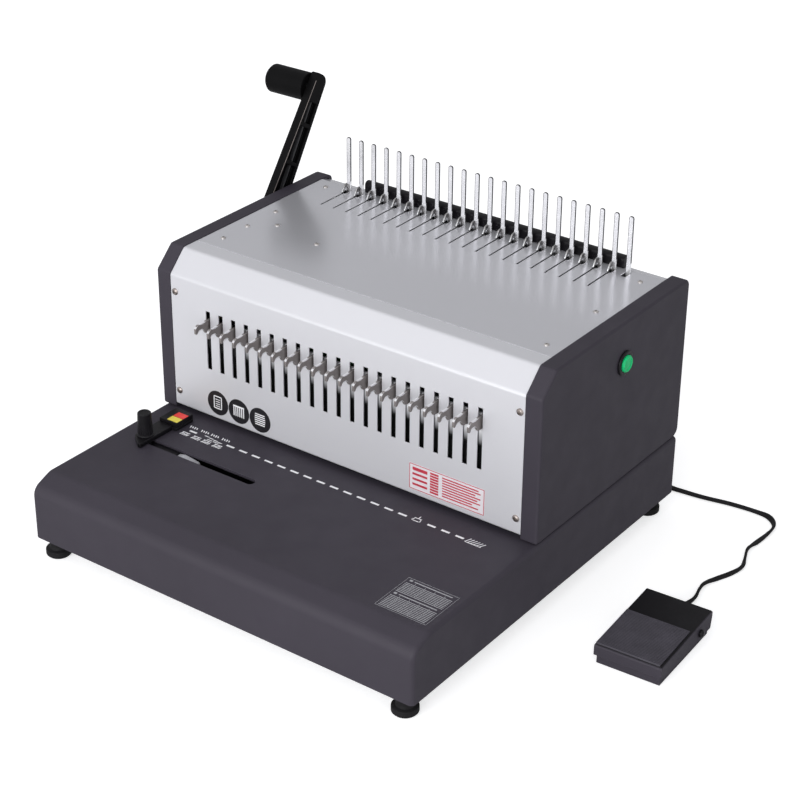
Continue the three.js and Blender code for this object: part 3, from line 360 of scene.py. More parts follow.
def lathe(bm, axis, centre, profile, steps=48):
    """A turned solid about an axis through centre; its (radius, along) pairs start and end at radius 0."""
    poles = [bm.verts.new(spot(axis, centre, profile[end][1])) for end in (0, -1)]
    loops = []
    for radius, along in profile[1:-1]:
        ring = circle(centre[0], centre[1], radius, steps)
        loops.append([bm.verts.new(spot(axis, point, along)) for point in ring])
    for near, far in zip(loops, loops[1:]):
        band(bm, near, far)
    for pole, loop in zip(poles, (loops[0], loops[-1])):
        for index in range(steps):
            bm.faces.new((pole, loop[index], loop[(index + 1) % steps]))


def soft_lathe(bm, axis, centre, corners, steps=48):
    """A lathe whose profile corners (radius, along, rounding) are rounded."""
    lathe(bm, axis, centre, [tuple(point) for point in fillet(corners, closed=False, steps=4)], steps)


def raw(bm, name):
    """A new object from a bmesh in machine millimetres, in place in the frame."""
    mesh = bpy.data.meshes.new(name)
    bm.to_mesh(mesh)
    bm.free()
    mesh.transform(Matrix.Translation(ORIGIN) @ Matrix.Scale(MM, 4))
    obj = bpy.data.objects.new(name, mesh)
    bpy.context.scene.collection.objects.link(obj)
    return obj


def shaped(bm, name):
    """The same for a closed solid, with its faces turned outwards."""
    bmesh.ops.recalc_face_normals(bm, faces=bm.faces)
    return raw(bm, name)


def baked(obj):
    """Applies the object's modifiers to its mesh."""
    result = bpy.data.meshes.new_from_object(obj.evaluated_get(bpy.context.evaluated_depsgraph_get()))
    obj.modifiers.clear()
    obj.data = result
    return obj


def thicken(obj, thickness):
    modifier = obj.modifiers.new("thickness", "SOLIDIFY")
    modifier.thickness = thickness * MM
    modifier.offset = -1
    modifier.use_even_offset = True
    return baked(obj)


def carve(obj, cutter_mesh):
    """Cuts a bmesh solid out of the object."""
    cutter = shaped(cutter_mesh, "cutter")
    modifier = obj.modifiers.new("cut", "BOOLEAN")
    modifier.operation = "DIFFERENCE"
    modifier.solver = "EXACT"
    modifier.object = cutter
    baked(obj)
    mesh = cutter.data
    bpy.data.objects.remove(cutter)
    bpy.data.meshes.remove(mesh)
    return obj


def paint(obj, material):
    obj.data.materials.clear()
    obj.data.materials.append(material)
    obj.data.shade_smooth()


def round_edges(obj, bevel, segments, angle):
    modifier = obj.modifiers.new("edges", "BEVEL")
    modifier.width = bevel * MM
    modifier.segments = segments
    modifier.limit_method = "ANGLE"
    modifier.angle_limit = math.radians(angle)
    modifier.harden_normals = True


def dress(obj, body, material, node=None, bevel=0.3, segments=2, angle=32):
    """Gives a finished piece its material, its edges, its body and the CAD node it stands for."""
    paint(obj, material)
    obj.data.set_sharp_from_angle(angle=math.radians(angle))
    if bevel:
        round_edges(obj, bevel, segments, angle)
    weighted = obj.modifiers.new("shading", "WEIGHTED_NORMAL")
    weighted.keep_sharp = True
    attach(obj, body)
    if node:
        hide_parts(node)
    return obj


def piece(name, build, body, material, node=None, **edges):
    """One visible piece: build(bm) makes it in machine millimetres."""
    bm = bmesh.new()
    build(bm)
    return dress(shaped(bm, name), body, material, node, **edges)


# ---------------------------------------------------------------- base

BASE_LOW, BASE_HIGH = box_of("base_shell")
BASE_WALL = 2.4
BASE_ROUND = 4.2
GUIDE_SLOT = (-176, -64.5, -44, -55.5)  # left, front, right, back


def base_profile():
    """Open (y, z) path from the bottom of the front skirt over the top to the bottom of the back."""
    front, back, top = BASE_LOW.y, BASE_HIGH.y, BASE_HIGH.z
    corners = [(front, BASE_LOW.z, 0), (front, top - 8.5, 12), (front + 21, top, 16), (back, top, BASE_ROUND),
               (back, BASE_LOW.z, 0)]
    return fillet(corners, closed=False, steps=8)


def rounded_sweep(bm, path, low, high, radius, steps=7):
    """An open (y, z) path swept along X whose ends curve over and close; its open side stays open."""
    normals = []
    for index in range(len(path)):
        before = path[index] - path[index - 1] if index else path[1] - path[0]
        after = path[index + 1] - path[index] if index + 1 < len(path) else before
        tangent = (before.normalized() + after.normalized()).normalized()
        normals.append(Vector((-tangent.y, tangent.x)))
    turns = [math.pi / 2 * step / steps for step in range(steps + 1)]
    arc = [(radius * (1 - math.sin(turn)), radius * (1 - math.cos(turn))) for turn in turns]
    places = [(low + back, pull) for back, pull in reversed(arc)]
    places += [(high - back, pull) for back, pull in arc]
    loops = []
    for x, pull in places:
        ring = [point - normal * pull for point, normal in zip(path, normals)]
        loops.append([bm.verts.new(spot("x", point, x)) for point in ring])
    for near, far in zip(loops, loops[1:]):
        for index in range(len(path) - 1):
            bm.faces.new((near[index], far[index], far[index + 1], near[index + 1]))
    bm.faces.new(loops[0])
    bm.faces.new(loops[-1][::-1])


def base_shell():
    bm = bmesh.new()
    rounded_sweep(bm, base_profile(), BASE_LOW.x, BASE_HIGH.x, BASE_ROUND)
    shell = thicken(raw(bm, "base_shell_skin"), BASE_WALL)
    die_low, die_high = box_of("die_plate")
    drawer_low, drawer_high = box_of("chip_drawer")
    socket = middle_of("pedal_socket")
    openings = bmesh.new()
    gap = 0.6
    prism(openings, box_path(*GUIDE_SLOT, 4.2), "z", BASE_HIGH.z - 9, BASE_HIGH.z + 5)
    block(openings, (die_low.x - 1, die_low.y - 1, 60), (die_high.x + 1, die_high.y + 1, 80))
    block(openings, (drawer_low.x - 3, drawer_low.y - gap, drawer_low.z - gap),
          (drawer_low.x + 8, drawer_high.y + gap, drawer_high.z + gap))
    prism(openings, circle(socket.x, socket.z, 5.3), "y", BASE_HIGH.y - 8, BASE_HIGH.y + 2)
    dress(carve(shell, openings), "machine", POWDER, "base_shell", bevel=0.45, segments=3, angle=40)


def foot(bm, node):
    """A rubber foot: a broad sole, a neck and a collar under the base."""
    low, high = box_of(node)
    middle = (low + high) / 2
    radius = (high.x - low.x) / 2
    top = high.z
    profile = [(0, 0, 0), (radius - 1.6, 0, 0.6), (radius, 1.6, 1.2), (radius, 6.4, 0.9),
               (radius - 3.2, 7.4, 0.8), (radius - 4, 10, 2), (radius - 4, top - 2.5, 1.2),
               (radius - 2.6, top, 0.3), (0, top, 0)]
    soft_lathe(bm, "z", middle.xy, profile)


base_shell()
for name in ("foot_front_left", "foot_front_right", "foot_rear_left", "foot_rear_right"):
    piece(name + "_rubber", lambda bm, node=name: foot(bm, node), "machine", RUBBER, name, bevel=0)

# ---------------------------------------------------------------- covers

COVER_LOW, COVER_HIGH = box_of("front_cover")
TOP_LOW, TOP_HIGH = box_of("top_cover")
REAR_LOW, REAR_HIGH = box_of("rear_cover")
PANEL_TOP = 208
CHAMFER = 19
REAR_BEND = 213
SLOT_HALF = 2.4
SLOT_SPAN = (127.2, 183.6)
TINE_WINDOW = (198.5, 209.0)
HOOK_TRACK = (165.0, 198.5)
VENT_SPAN = (110, 160)


def folded_sheet(name, path, stations, is_open, node, material):
    """A sheet through an open (y, z) path, cut at x stations; is_open(x, y, z) leaves a cell out."""
    bm = bmesh.new()
    rows = [[bm.verts.new((x, a, b)) for a, b in path] for x in stations]
    for near, far in zip(rows, rows[1:]):
        for index in range(len(path) - 1):
            corners = (near[index], far[index], far[index + 1], near[index + 1])
            middle = sum((vert.co for vert in corners), Vector()) / 4
            if not is_open(*middle):
                bm.faces.new(corners)
    bmesh.ops.delete(bm, geom=[vert for vert in bm.verts if not vert.link_faces], context="VERTS")
    sheet = thicken(raw(bm, name), SHEET)
    dress(sheet, "machine", material, node, bevel=0.22, angle=40)


def front_cover():
    top = COVER_HIGH.z
    corners = [(7.4, COVER_LOW.z, 0), (0, COVER_LOW.z, 1.8), *((0, z, 0) for z in SLOT_SPAN),
               (0, PANEL_TOP, 5), (CHAMFER, top, 5), (COVER_HIGH.y, top, 0)]
    edges = sorted(x + side * SLOT_HALF for x in HOLE_X for side in (-1, 1))
    stations = [COVER_LOW.x, *edges, COVER_HIGH.x]

    def is_open(x, y, z):
        in_slot = any(abs(x - hole) < SLOT_HALF for hole in HOLE_X)
        return in_slot and y < 1 and SLOT_SPAN[0] < z < SLOT_SPAN[1]

    folded_sheet("front_cover_sheet", fillet(corners, closed=False), stations, is_open, "front_cover", SATIN)


def top_openings():
    """(x low, x high, y low, y high) of every tine window and of the track in front of it."""
    found = [(tine - 2.6, tine + 2.6, *TINE_WINDOW) for tine in TINE_X]
    found += [(tine - 0.9, tine + 0.9, *HOOK_TRACK) for tine in TINE_X[:HOLES]]
    return found


def top_cover():
    top = TOP_HIGH.z
    back = TOP_HIGH.y
    openings = top_openings()
    rows = sorted({*HOOK_TRACK, *TINE_WINDOW})
    corners = [(TOP_LOW.y, top, 0), *((y, top, 0) for y in rows), (REAR_BEND, top, 2.5),
               (back - 3, top - 3.6, 2.5), (back, top - 8, 3), (back, TOP_LOW.z, 0)]
    path = fillet(corners, closed=False, steps=5)
    stations = sorted({TOP_LOW.x, TOP_HIGH.x} | {round(x, 4) for cell in openings for x in cell[:2]})

    def is_open(x, y, z):
        return z > top - 1 and any(a < x < b and c < y < d for a, b, c, d in openings)

    folded_sheet("top_cover_sheet", path, stations, is_open, "top_cover", SILVER)


def rear_cover():
    inlet_low, inlet_high = box_of("power_inlet")
    back, low, high = REAR_HIGH.y, REAR_LOW.z, REAR_HIGH.z
    inlet = (inlet_low.x + 2.4, inlet_high.x - 2.4, inlet_low.z + 2, inlet_high.z - 2)
    vents = [(90 + step * 8, 93 + step * 8, *VENT_SPAN) for step in range(9)]
    levels = sorted({*inlet[2:], *VENT_SPAN})
    corners = [(back - 10, low, 0), (back, low, 2), *((back, z, 0) for z in levels), (back, high, 2),
               (back - 10, high, 0)]
    path = fillet(corners, closed=False, steps=5)[::-1]
    stations = sorted({REAR_LOW.x, REAR_HIGH.x, *inlet[:2]} | {x for vent in vents for x in vent[:2]})

    def is_open(x, y, z):
        return y > back - 1 and any(a < x < b and c < z < d for a, b, c, d in [inlet, *vents])

    folded_sheet("rear_cover_sheet", path, stations, is_open, "rear_cover", POWDER)


def cap_outline(low, high, distance):
    """The end cap's (y, z) outline, moved inwards; its front top corner is cut at the chamfer's slope."""
    corners = [Vector((low.y + 0.4, low.z)), Vector((high.y, low.z)), Vector((high.y, high.z)),
               Vector((CHAMFER, high.z)), Vector((low.y, PANEL_TOP + 1))]
    rounds = (2, 8, 6, 4, 4)
    moved = inset(corners, distance)
    return fillet([(point.x, point.y, max(0.8, r - distance)) for point, r in zip(moved, rounds)], steps=6)


def end_cap(side, node):
    """A closed shell: the pocket, the rim, and an outer face with a rounded edge."""
    low, high = box_of(node)
    inner, outer = (low.x, high.x) if side > 0 else (high.x, low.x)
    edge = 2.4
    levels = [(outer - side * 3, 3.0), (inner, 3.0), (inner, 0.0)]
    for step in range(7):
        turn = math.radians(15 * step)
        levels.append((outer - side * edge * (1 - math.sin(turn)), edge * (1 - math.cos(turn))))
    bm = bmesh.new()
    loft(bm, [[spot("x", p, x) for p in cap_outline(low, high, pull)] for x, pull in levels])
    cap = shaped(bm, node + "_cover")
    hole = bmesh.new()
    centre, radius = (middle_of("start_button").yz, 9.2) if side > 0 else (pivot_of("handle_swing").yz, 8)
    prism(hole, circle(*centre, radius, 40), "x", min(inner, outer) - 5, max(inner, outer) + 5)
    dress(carve(cap, hole), "machine", POWDER, node, bevel=0)


front_cover()
top_cover()
rear_cover()
end_cap(-1, "end_cap_left")
end_cap(1, "end_cap_right")

# ---------------------------------------------------------------- screws

TOP_SCREWS = [(-169.5, 54), (-169.5, 86.8), (-169.5, 126.5), (-169.5, 199.8), (-149, 104), (-95.6, 93),
              (169.8, 51.5), (169.8, 126), (169.8, 197.6)]


def screw_head(bm, x, y, z, radius, axis):
    """A domed head facing -Y or +Z."""
    sign = -1 if axis == "y" else 1
    base = y if axis == "y" else z
    centre = (x, z) if axis == "y" else (x, y)
    dome = [(0, base - sign * 0.6, 0), (radius, base - sign * 0.6, 0), (radius, base + sign * 0.5, 0.3),
            (radius * 0.62, base + sign * radius * 0.5, radius * 0.5), (0, base + sign * radius * 0.56, 0)]
    soft_lathe(bm, axis, centre, dome, 28)


def screw_cross(bm, x, y, z, radius, axis):
    """The cutter of the cross recess in that head."""
    arm, half = radius * 0.55, radius * 0.13
    depth = (y - radius, y - radius * 0.25) if axis == "y" else (z + radius * 0.25, z + radius)
    centre = (x, z) if axis == "y" else (x, y)
    quarter = [Vector((arm, half)), Vector((half, half)), Vector((half, arm))]
    turns = [Matrix.Rotation(step * math.pi / 2, 2) for step in range(4)]
    prism(bm, [Vector(centre) + turn @ point for turn in turns for point in quarter], axis, *depth)


def screws(name, places, radius, axis, material, node=None):
    heads, crosses = bmesh.new(), bmesh.new()
    for place in places:
        screw_head(heads, *place, radius, axis)
        screw_cross(crosses, *place, radius, axis)
    dress(carve(shaped(heads, name), crosses), "machine", material, node, bevel=0.12, segments=1)


for node in [n for n in sorted(frame["nodes"]) if n.startswith("panel_screw")]:
    low, high = box_of(node)
    middle = (low + high) / 2
    screws(node + "_head", [(middle.x, 0, middle.z)], (high.x - low.x) / 2, "y", SCREW_STEEL, node)
screws("top_cover_screws", [(x, y, TOP_HIGH.z) for x, y in TOP_SCREWS], 2.3, "z", TOP_SCREW_STEEL)

# ---------------------------------------------------------------- comb opener

TINE_LOW, TINE_HIGH = box_of("tine_comb")
TINE_Y = 208
TINE_HALF = 2.2
TINE_THICK = 0.6  # on each side of TINE_Y
RAIL_TOP = TINE_LOW.z + 15


def tines(bm):
    """Flat upright strips with rounded tips on the rail and flange that carry them."""
    front, back, foot_z = TINE_Y - TINE_THICK, TINE_Y + TINE_THICK, TINE_LOW.z + 4
    for x in TINE_X:
        corners = [(x - TINE_HALF, foot_z, 0), (x + TINE_HALF, foot_z, 0), (x + TINE_HALF, TINE_HIGH.z, 1.9),
                   (x - TINE_HALF, TINE_HIGH.z, 1.9)]
        prism(bm, fillet(corners, steps=5), "y", front, back)
    prism(bm, box_path(TINE_LOW.x, TINE_LOW.z, TINE_HIGH.x, RAIL_TOP, 1), "y", front, back)
    block(bm, (TINE_LOW.x, front, RAIL_TOP - 1), (TINE_HIGH.x, TINE_HIGH.y, RAIL_TOP + 0.5))


def tine_dark_edge_strips(bm):
    """Dark strips round both sides and the tip of every tine: painted reflection, the dark lines that the
    bright tines show along their edges.
    """
    low, high = TINE_LOW.z + 30, TINE_HIGH.z
    outer, inner, thick = TINE_HALF + 0.05, TINE_HALF - 0.35, TINE_THICK + 0.12
    for x in TINE_X:
        corners = [(x - outer, low, 0), (x - outer, high, 1.9), (x + outer, high, 1.9), (x + outer, low, 0),
                   (x + inner, low, 0), (x + inner, high - 0.5, 1.5), (x - inner, high - 0.5, 1.5),
                   (x - inner, low, 0)]
        prism(bm, fillet(corners, steps=5), "y", TINE_Y - thick, TINE_Y + thick)


def top_hooks(bm):
    """The small upper hooks, each an arch with a beak, joined to the CAD carriage's deck and racks."""
    foot_z, tip = 203.6, box_of("top_hook_carriage")[1].z
    corners = [(206.8, foot_z, 0), (206.8, tip - 2.6, 2.2), (204.4, tip, 1.6), (200.6, tip - 1.0, 1.8),
               (196.8, tip - 7.4, 0.5), (198.2, tip - 7.6, 0.5), (200.9, tip - 3.6, 1.2),
               (203.4, tip - 3.4, 1.4), (203.6, foot_z, 0)]
    for x in TINE_X[:HOLES]:
        prism(bm, fillet(corners, steps=4), "x", x - 0.7, x + 0.7)


def front_hooks(bm):
    """Flat claws that reach out of the slots: a rounded nose, a notch and a heel."""
    corners = [(6, 176.2, 0), (-3.2, 176.4, 3), (-8, 175.2, 3), (-14.4, 176.4, 2.6), (-17.4, 173.6, 1.8),
               (-17.2, 168.4, 0.9), (-15.2, 168, 0.8), (-13.4, 171, 1.8), (-9.2, 171.2, 2.4),
               (-6.6, 168.8, 1.2), (-4.6, 165, 1.2), (-2, 164.4, 1), (6, 164.4, 0)]
    for x in HOLE_X:
        prism(bm, fillet(corners, steps=4), "x", x - 1.03, x + 1.03)


def hook_shanks(bm):
    """The plates just behind the slots that carry the front hooks."""
    for x in HOLE_X:
        prism(bm, box_path(x - 2.1, 148, x + 2.1, 163.8, 0.4), "y", 1.6, 2.4)


def comb_rest(bm):
    low, high = box_of("comb_rest_bar")
    floor = TOP_HIGH.z + 0.2
    corners = [(low.y, floor, 0), (REAR_BEND + 0.2, floor, 0), (high.y, low.z, 0.4), (high.y, high.z, 3.6),
               (low.y, high.z, 3.6)]
    prism(bm, fillet(corners), "x", low.x, high.x)


piece("tine_comb_strips", tines, "machine", SPRUNG, "tine_comb", bevel=0.25)
# painted reflection: dark strips along the tine edges
piece("tine_painted_dark_edges", tine_dark_edge_strips, "machine", TINE_EDGE_PAINTED_REFLECTION, bevel=0.1, segments=1)
piece("top_hook_row", top_hooks, "top_hooks", STEEL, bevel=0.22)
piece("front_hook_row", front_hooks, "front_hooks", HOOK_STEEL_WITH_GLINT, bevel=0.25)
# the shanks take the hook plate steel with its painted shade
piece("front_hook_shanks", hook_shanks, "front_hooks", HOOK_PLATE_WITH_PAINTED_SHADE, bevel=0.2)
piece("comb_rest", comb_rest, "machine", GLOSSY_BLACK, "comb_rest_bar", bevel=0.6, segments=3)

# ---------------------------------------------------------------- handle

HUB = pivot_of("handle_swing")
ARM_LOW, ARM_HIGH = box_of("handle_arm")
GRIP_LOW, GRIP_HIGH = box_of("handle_grip")
GRIP = (GRIP_LOW + GRIP_HIGH) / 2
GRIP_RADIUS = (GRIP_HIGH.z - GRIP_LOW.z) / 2
ARM_INNER = -202.5
ARM_BACK = 12
ARM_END = 173.8
ARM_BAYS = [(16, 46), (50, 84), (88, 122), (126, 146)]
BAY_BACK = 8.4
ARM_OUTER = GRIP_HIGH.x + 0.3
ALONG = (GRIP.yz - HUB.yz).normalized()
ACROSS = Vector((ALONG.y, -ALONG.x))


def on_arm(corners, steps=6):
    """Rounded outline from (across, along, radius) corners measured from the shaft."""
    return [HUB.yz + ACROSS * p.x + ALONG * p.y for p in fillet(corners, steps=steps)]


def arm_front(along):
    """The arm's front edge, which tapers towards the grip."""
    return 0.0762 * (along - 20) - 16.5


def handle_arm():
    corners = [(-15.5, -15.5, 12), (15.5, -15.5, 12), (14.5, 8, 10), (ARM_BACK, 24, 20),
               (ARM_BACK, ARM_END, 8), (arm_front(ARM_END), ARM_END, 2.5), (arm_front(24), 24, 20),
               (-16, 8, 10)]
    bm = bmesh.new()
    prism(bm, on_arm(corners), "x", ARM_OUTER, ARM_INNER)
    lathe(bm, "x", HUB.yz, [(0, ARM_INNER - 2), (13, ARM_INNER - 2), (13, ARM_HIGH.x), (0, ARM_HIGH.x)])
    lathe(bm, "x", GRIP.yz, [(0, ARM_LOW.x), (6, ARM_LOW.x), (6, ARM_OUTER + 1), (0, ARM_OUTER + 1)])
    arm = shaped(bm, "handle_arm_casting")
    bays = bmesh.new()
    for low, high in ARM_BAYS:
        corners = [(arm_front(low) + 3.2, low, 1.6), (BAY_BACK, low, 1.6), (BAY_BACK, high, 1.6),
                   (arm_front(high) + 3.2, high, 1.6)]
        prism(bays, on_arm(corners), "x", ARM_INNER - 4.6, ARM_INNER + 3)
    carve(arm, bays)
    dress(arm, "opener_lever", HANDLE_BLACK, "handle_arm", bevel=0.7, segments=3)


def arm_rib(bm):
    """The long rib that runs through the bays; its lighter grey is a painted reflection on the black
    moulding.
    """
    prism(bm, on_arm([(0.2, 17, 0), (1.8, 17, 0), (1.8, 146, 0), (0.2, 146, 0)]),
          "x", ARM_INNER - 5, ARM_INNER - 1.2)


def arm_painted_highlight(bm):
    """A painted highlight: a bright strip along the arm's front edge, where light catches the moulding."""
    start, end = 32, 166
    corners = [(arm_front(along) + out, along, 0.2)
               for along, out in ((start, 0.7), (end, 0.7), (end, 1.5), (start, 1.5))]
    prism(bm, on_arm(corners, 2), "x", ARM_INNER - 0.3, ARM_INNER + 0.25)


def handle_grip(bm):
    """A moulded tube with a rolled lip at its free end."""
    inner, outer, r = GRIP_HIGH.x, GRIP_LOW.x, GRIP_RADIUS
    profile = [(0, inner, 0), (r, inner, 0.8), (r, outer + 2.6, 1.6), (r - 2.4, outer, 1.6),
               (r - 6, outer, 0.8), (r - 7, outer + 0.9, 0.6), (0, outer + 0.9, 0)]
    soft_lathe(bm, "x", GRIP.yz, profile, 64)


def handle_screw(bm):
    low, high = box_of("handle_screw")
    radius = (high.z - low.z) / 2
    profile = [(0, high.x, 0), (radius, high.x, 0.3), (radius, high.x - 1.5, 0.6), (radius * 0.6, low.x, 1.2),
               (0, low.x, 0)]
    soft_lathe(bm, "x", HUB.yz, profile, 40)


handle_arm()
piece("handle_arm_rib", arm_rib, "opener_lever", RIB_PAINTED_REFLECTION)
# painted highlight line along the arm's front edge
piece("handle_arm_painted_highlight", arm_painted_highlight, "opener_lever", SCREW_STEEL, bevel=0.12)
piece("handle_grip_tube", handle_grip, "opener_lever", HANDLE_BLACK, "handle_grip", bevel=0)
piece("handle_cap_screw", handle_screw, "opener_lever", BRIGHT, "handle_screw", bevel=0)

# ---------------------------------------------------------------- edge guide

STOP_LOW, STOP_HIGH = box_of("edge_guide_stop")
KNOB_LOW, KNOB_HIGH = box_of("edge_guide_knob")


def guide_carrier(bm):
    """Plate that straddles the slot with a pad under the knob, and the tongue and slider below it."""
    low, high = box_of("edge_guide_carrier")
    floor = BASE_HIGH.z + 0.4
    front = STOP_LOW.y - 0.4
    left_front = [(low.x, -65, 3), (-163, low.y, 1.5), (-160, low.y, 0.6)]
    plate = [(low.x, high.y, 1), *left_front, (-159.5, front, 0), (STOP_HIGH.x, front, 0.6),
             (STOP_HIGH.x, high.y, 1)]
    prism(bm, fillet(plate, steps=4), "z", floor, STOP_LOW.z - 0.3)
    pad = [(low.x, front, 0.6), *left_front, (-159.5, front, 0.6)]
    prism(bm, fillet(pad, steps=4), "z", floor + 1, high.z)
    block(bm, (-172.5, -62.8, low.z + 1), (-162.5, -57.2, floor + 1))
    block(bm, (-174.5, -70, low.z), (high.x, -50, low.z + 5.9), 1)


def guide_stop(bm):
    corners = [(STOP_LOW.x, STOP_LOW.z, 0.4), (STOP_HIGH.x, STOP_LOW.z, 0.4), (STOP_HIGH.x, STOP_HIGH.z, 0.8),
               (STOP_LOW.x, STOP_HIGH.z, 0.8)]
    prism(bm, fillet(corners, steps=4), "y", STOP_LOW.y, STOP_HIGH.y)


def guide_knob():
    """Fluted, slightly tapered knob on a thin flange, with a dished top."""
    middle = (KNOB_LOW + KNOB_HIGH) / 2
    base, top = KNOB_LOW.z + 7.5, KNOB_HIGH.z
    dish = top - 0.9
    profile = [(0, KNOB_LOW.z, 0), (2, KNOB_LOW.z, 0.2), (2, base, 0), (7.5, base, 0.3),
               (7.5, base + 1.1, 0.4), (6.9, base + 1.5, 0.3), (6.1, top - 0.8, 0.6), (5.3, top, 0.4),
               (4.6, top, 0.3), (3.8, dish, 0.5), (0, dish, 0)]
    bm = bmesh.new()
    soft_lathe(bm, "z", middle.xy, profile, 72)
    knob = shaped(bm, "edge_guide_thumb_knob")
    flutes = bmesh.new()
    for x, y in circle(middle.x, middle.y, 7.15, 20):
        prism(flutes, circle(x, y, 0.75, 10), "z", base + 2.4, top - 2.2)
    dress(carve(knob, flutes), "guide_knob", BLACK, "edge_guide_knob", bevel=0.12)


def guide_clip(bm):
    low, high = box_of("edge_guide_clip")
    corners = [(low.x, low.z, 0.3), (high.x, low.z, 0.3), (high.x, high.z - 2.4, 1),
               (high.x - 9, high.z - 0.8, 3), (low.x + 6, high.z, 1), (low.x, high.z - 1.4, 0.8)]
    prism(bm, fillet(corners, steps=4), "y", low.y, high.y)


def stop_label(name, low, high, material):
    """A printed patch on the right half of the stop, from low to high along Y."""

    def build(bm):
        right, top = STOP_HIGH.x, STOP_HIGH.z
        block(bm, (right - 12, low, top - 0.1), (right - 0.4, high, top + 0.12), 0.3)

    piece(name, build, "edge_guide", material, bevel=0.06, segments=1)


piece("edge_guide_slide_plate", guide_carrier, "edge_guide", BLACK, "edge_guide_carrier")
piece("edge_guide_stop_block", guide_stop, "edge_guide", BLACK, "edge_guide_stop", bevel=0.5, segments=3)
guide_knob()
piece("edge_guide_spring_clip", guide_clip, "edge_guide", WHITE, "edge_guide_clip", bevel=0.35)
stop_label("edge_guide_yellow_mark", -32.3, -24.8, YELLOW_LABEL)
stop_label("edge_guide_red_mark", -24.4, -16.6, RED_LABEL)

# ---------------------------------------------------------------- drawer, button and sockets


def chip_drawer():
    """An open tray behind a face plate with a finger recess."""
    low, high = box_of("chip_drawer")
    bm = bmesh.new()
    block(bm, (low.x + 2, low.y + 1.4, low.z + 0.4), (high.x, high.y - 1.4, high.z - 1.4), 2)
    block(bm, (low.x, low.y, low.z), (low.x + 2.5, high.y, high.z))
    hollow = bmesh.new()
    block(hollow, (low.x + 4.5, low.y + 3.4, low.z + 2.4), (high.x - 2, high.y - 3.4, high.z + 5), 1.5)
    middle = (low.y + high.y) / 2
    recess = box_path(middle - 18, low.z + 9.4, middle + 18, low.z + 23.4, 3)
    prism(hollow, recess, "x", low.x - 1, low.x + 1.5)
    dress(carve(shaped(bm, "chip_drawer_tray"), hollow), "drawer", BLACK, "chip_drawer", bevel=0.5, angle=40)


def button_bezel():
    low, high = box_of("start_button_bezel")
    middle = (low + high) / 2
    radius = (high.z - low.z) / 2
    face = box_of("end_cap_right")[1].x
    profile = [(0, low.x, 0), (8.8, low.x, 0.4), (8.8, face + 0.3, 0), (radius, face + 0.3, 0.3),
               (radius, high.x - 0.4, 1), (radius - 1.4, high.x, 0.5), (0, high.x, 0)]
    bm = bmesh.new()
    soft_lathe(bm, "x", middle.yz, profile, 56)
    bore = bmesh.new()
    prism(bore, circle(middle.y, middle.z, 7.9, 56), "x", face - 14, high.x + 4)
    ring = carve(shaped(bm, "start_button_ring"), bore)
    dress(ring, "machine", GLOSSY_BLACK, "start_button_bezel", bevel=0.25)


def start_button(bm):
    """Domed cap with a raised rim and a shallow dish."""
    low, high = box_of("start_button")
    middle = (low + high) / 2
    radius = (high.z - low.z) / 2
    top = high.x
    profile = [(0, low.x, 0), (radius, low.x, 0.4), (radius, top - 1.2, 0.9), (radius - 1, top, 0.5),
               (radius - 1.9, top, 0.4), (radius - 2.3, top - 0.7, 0.3), (radius - 3.6, top - 0.7, 1),
               (0, top - 0.25, 0)]
    soft_lathe(bm, "x", middle.yz, profile, 56)


def power_inlet():
    """A socket with a bevelled well and three blades."""
    low, high = box_of("power_inlet")
    middle = (low + high) / 2
    back = REAR_HIGH.y
    bm = bmesh.new()
    prism(bm, box_path(low.x, low.z, high.x, high.z, 3), "y", back + 0.3, high.y)
    prism(bm, box_path(low.x + 2.8, low.z + 2.4, high.x - 2.8, high.z - 2.4), "y", low.y, back + 1)
    well = bmesh.new()
    mouth_corners = ((-11.5, -7.5), (11.5, -7.5), (11.5, 3), (7, 7.5), (-7, 7.5), (-11.5, 3))
    mouth = fillet([(middle.x + x, middle.z + z, 1) for x, z in mouth_corners], steps=3)
    prism(well, mouth, "y", back - 14, high.y + 4)
    blades = bmesh.new()
    for x, z in ((-7, -1), (0, 2), (7, -1)):
        low_x, high_x, low_z, high_z = middle.x + x - 1, middle.x + x + 1, middle.z + z - 2, middle.z + z + 2
        block(bm, (low_x, back - 15, low_z), (high_x, back - 14.2, high_z))
        block(blades, (low_x, back - 15, low_z), (high_x, back - 3, high_z))
    dress(carve(shaped(bm, "power_inlet_socket"), well), "machine", BLACK, "power_inlet")
    dress(shaped(blades, "power_inlet_blades"), "machine", BRIGHT)


def pedal_socket():
    low, high = box_of("pedal_socket")
    middle = (low + high) / 2
    back = BASE_HIGH.y
    profile = [(0, low.y, 0), (5, low.y, 0.4), (5, back + 0.3, 0), (8, back + 0.3, 0.4), (8, high.y - 1, 1),
               (5.6, high.y, 0.8), (0, high.y, 0)]
    bm = bmesh.new()
    soft_lathe(bm, "y", middle.xz, profile, 40)
    bore = bmesh.new()
    prism(bore, circle(middle.x, middle.z, 3.3, 32), "y", back - 5, back + 6)
    dress(carve(shaped(bm, "pedal_socket_bush"), bore), "machine", BLACK, "pedal_socket", bevel=0.25)


chip_drawer()
button_bezel()
piece("start_button_cap", start_button, "button", GREEN, "start_button", bevel=0)
power_inlet()
pedal_socket()

# ---------------------------------------------------------------- foot pedal

PEDAL_AXIS = Vector(JOINTS["pedal_press"]["axis"])
PEDAL_TURN = Matrix.Rotation(math.atan2(PEDAL_AXIS.y, PEDAL_AXIS.x), 4, "Z")
PEDAL_PIVOT = pivot_of("pedal_press")
PEDAL_HALF = 30.0
PEDAL_FRONT, PEDAL_BACK = -68.5, 22.5  # from the pivot
PEDAL_WALL = 1.4


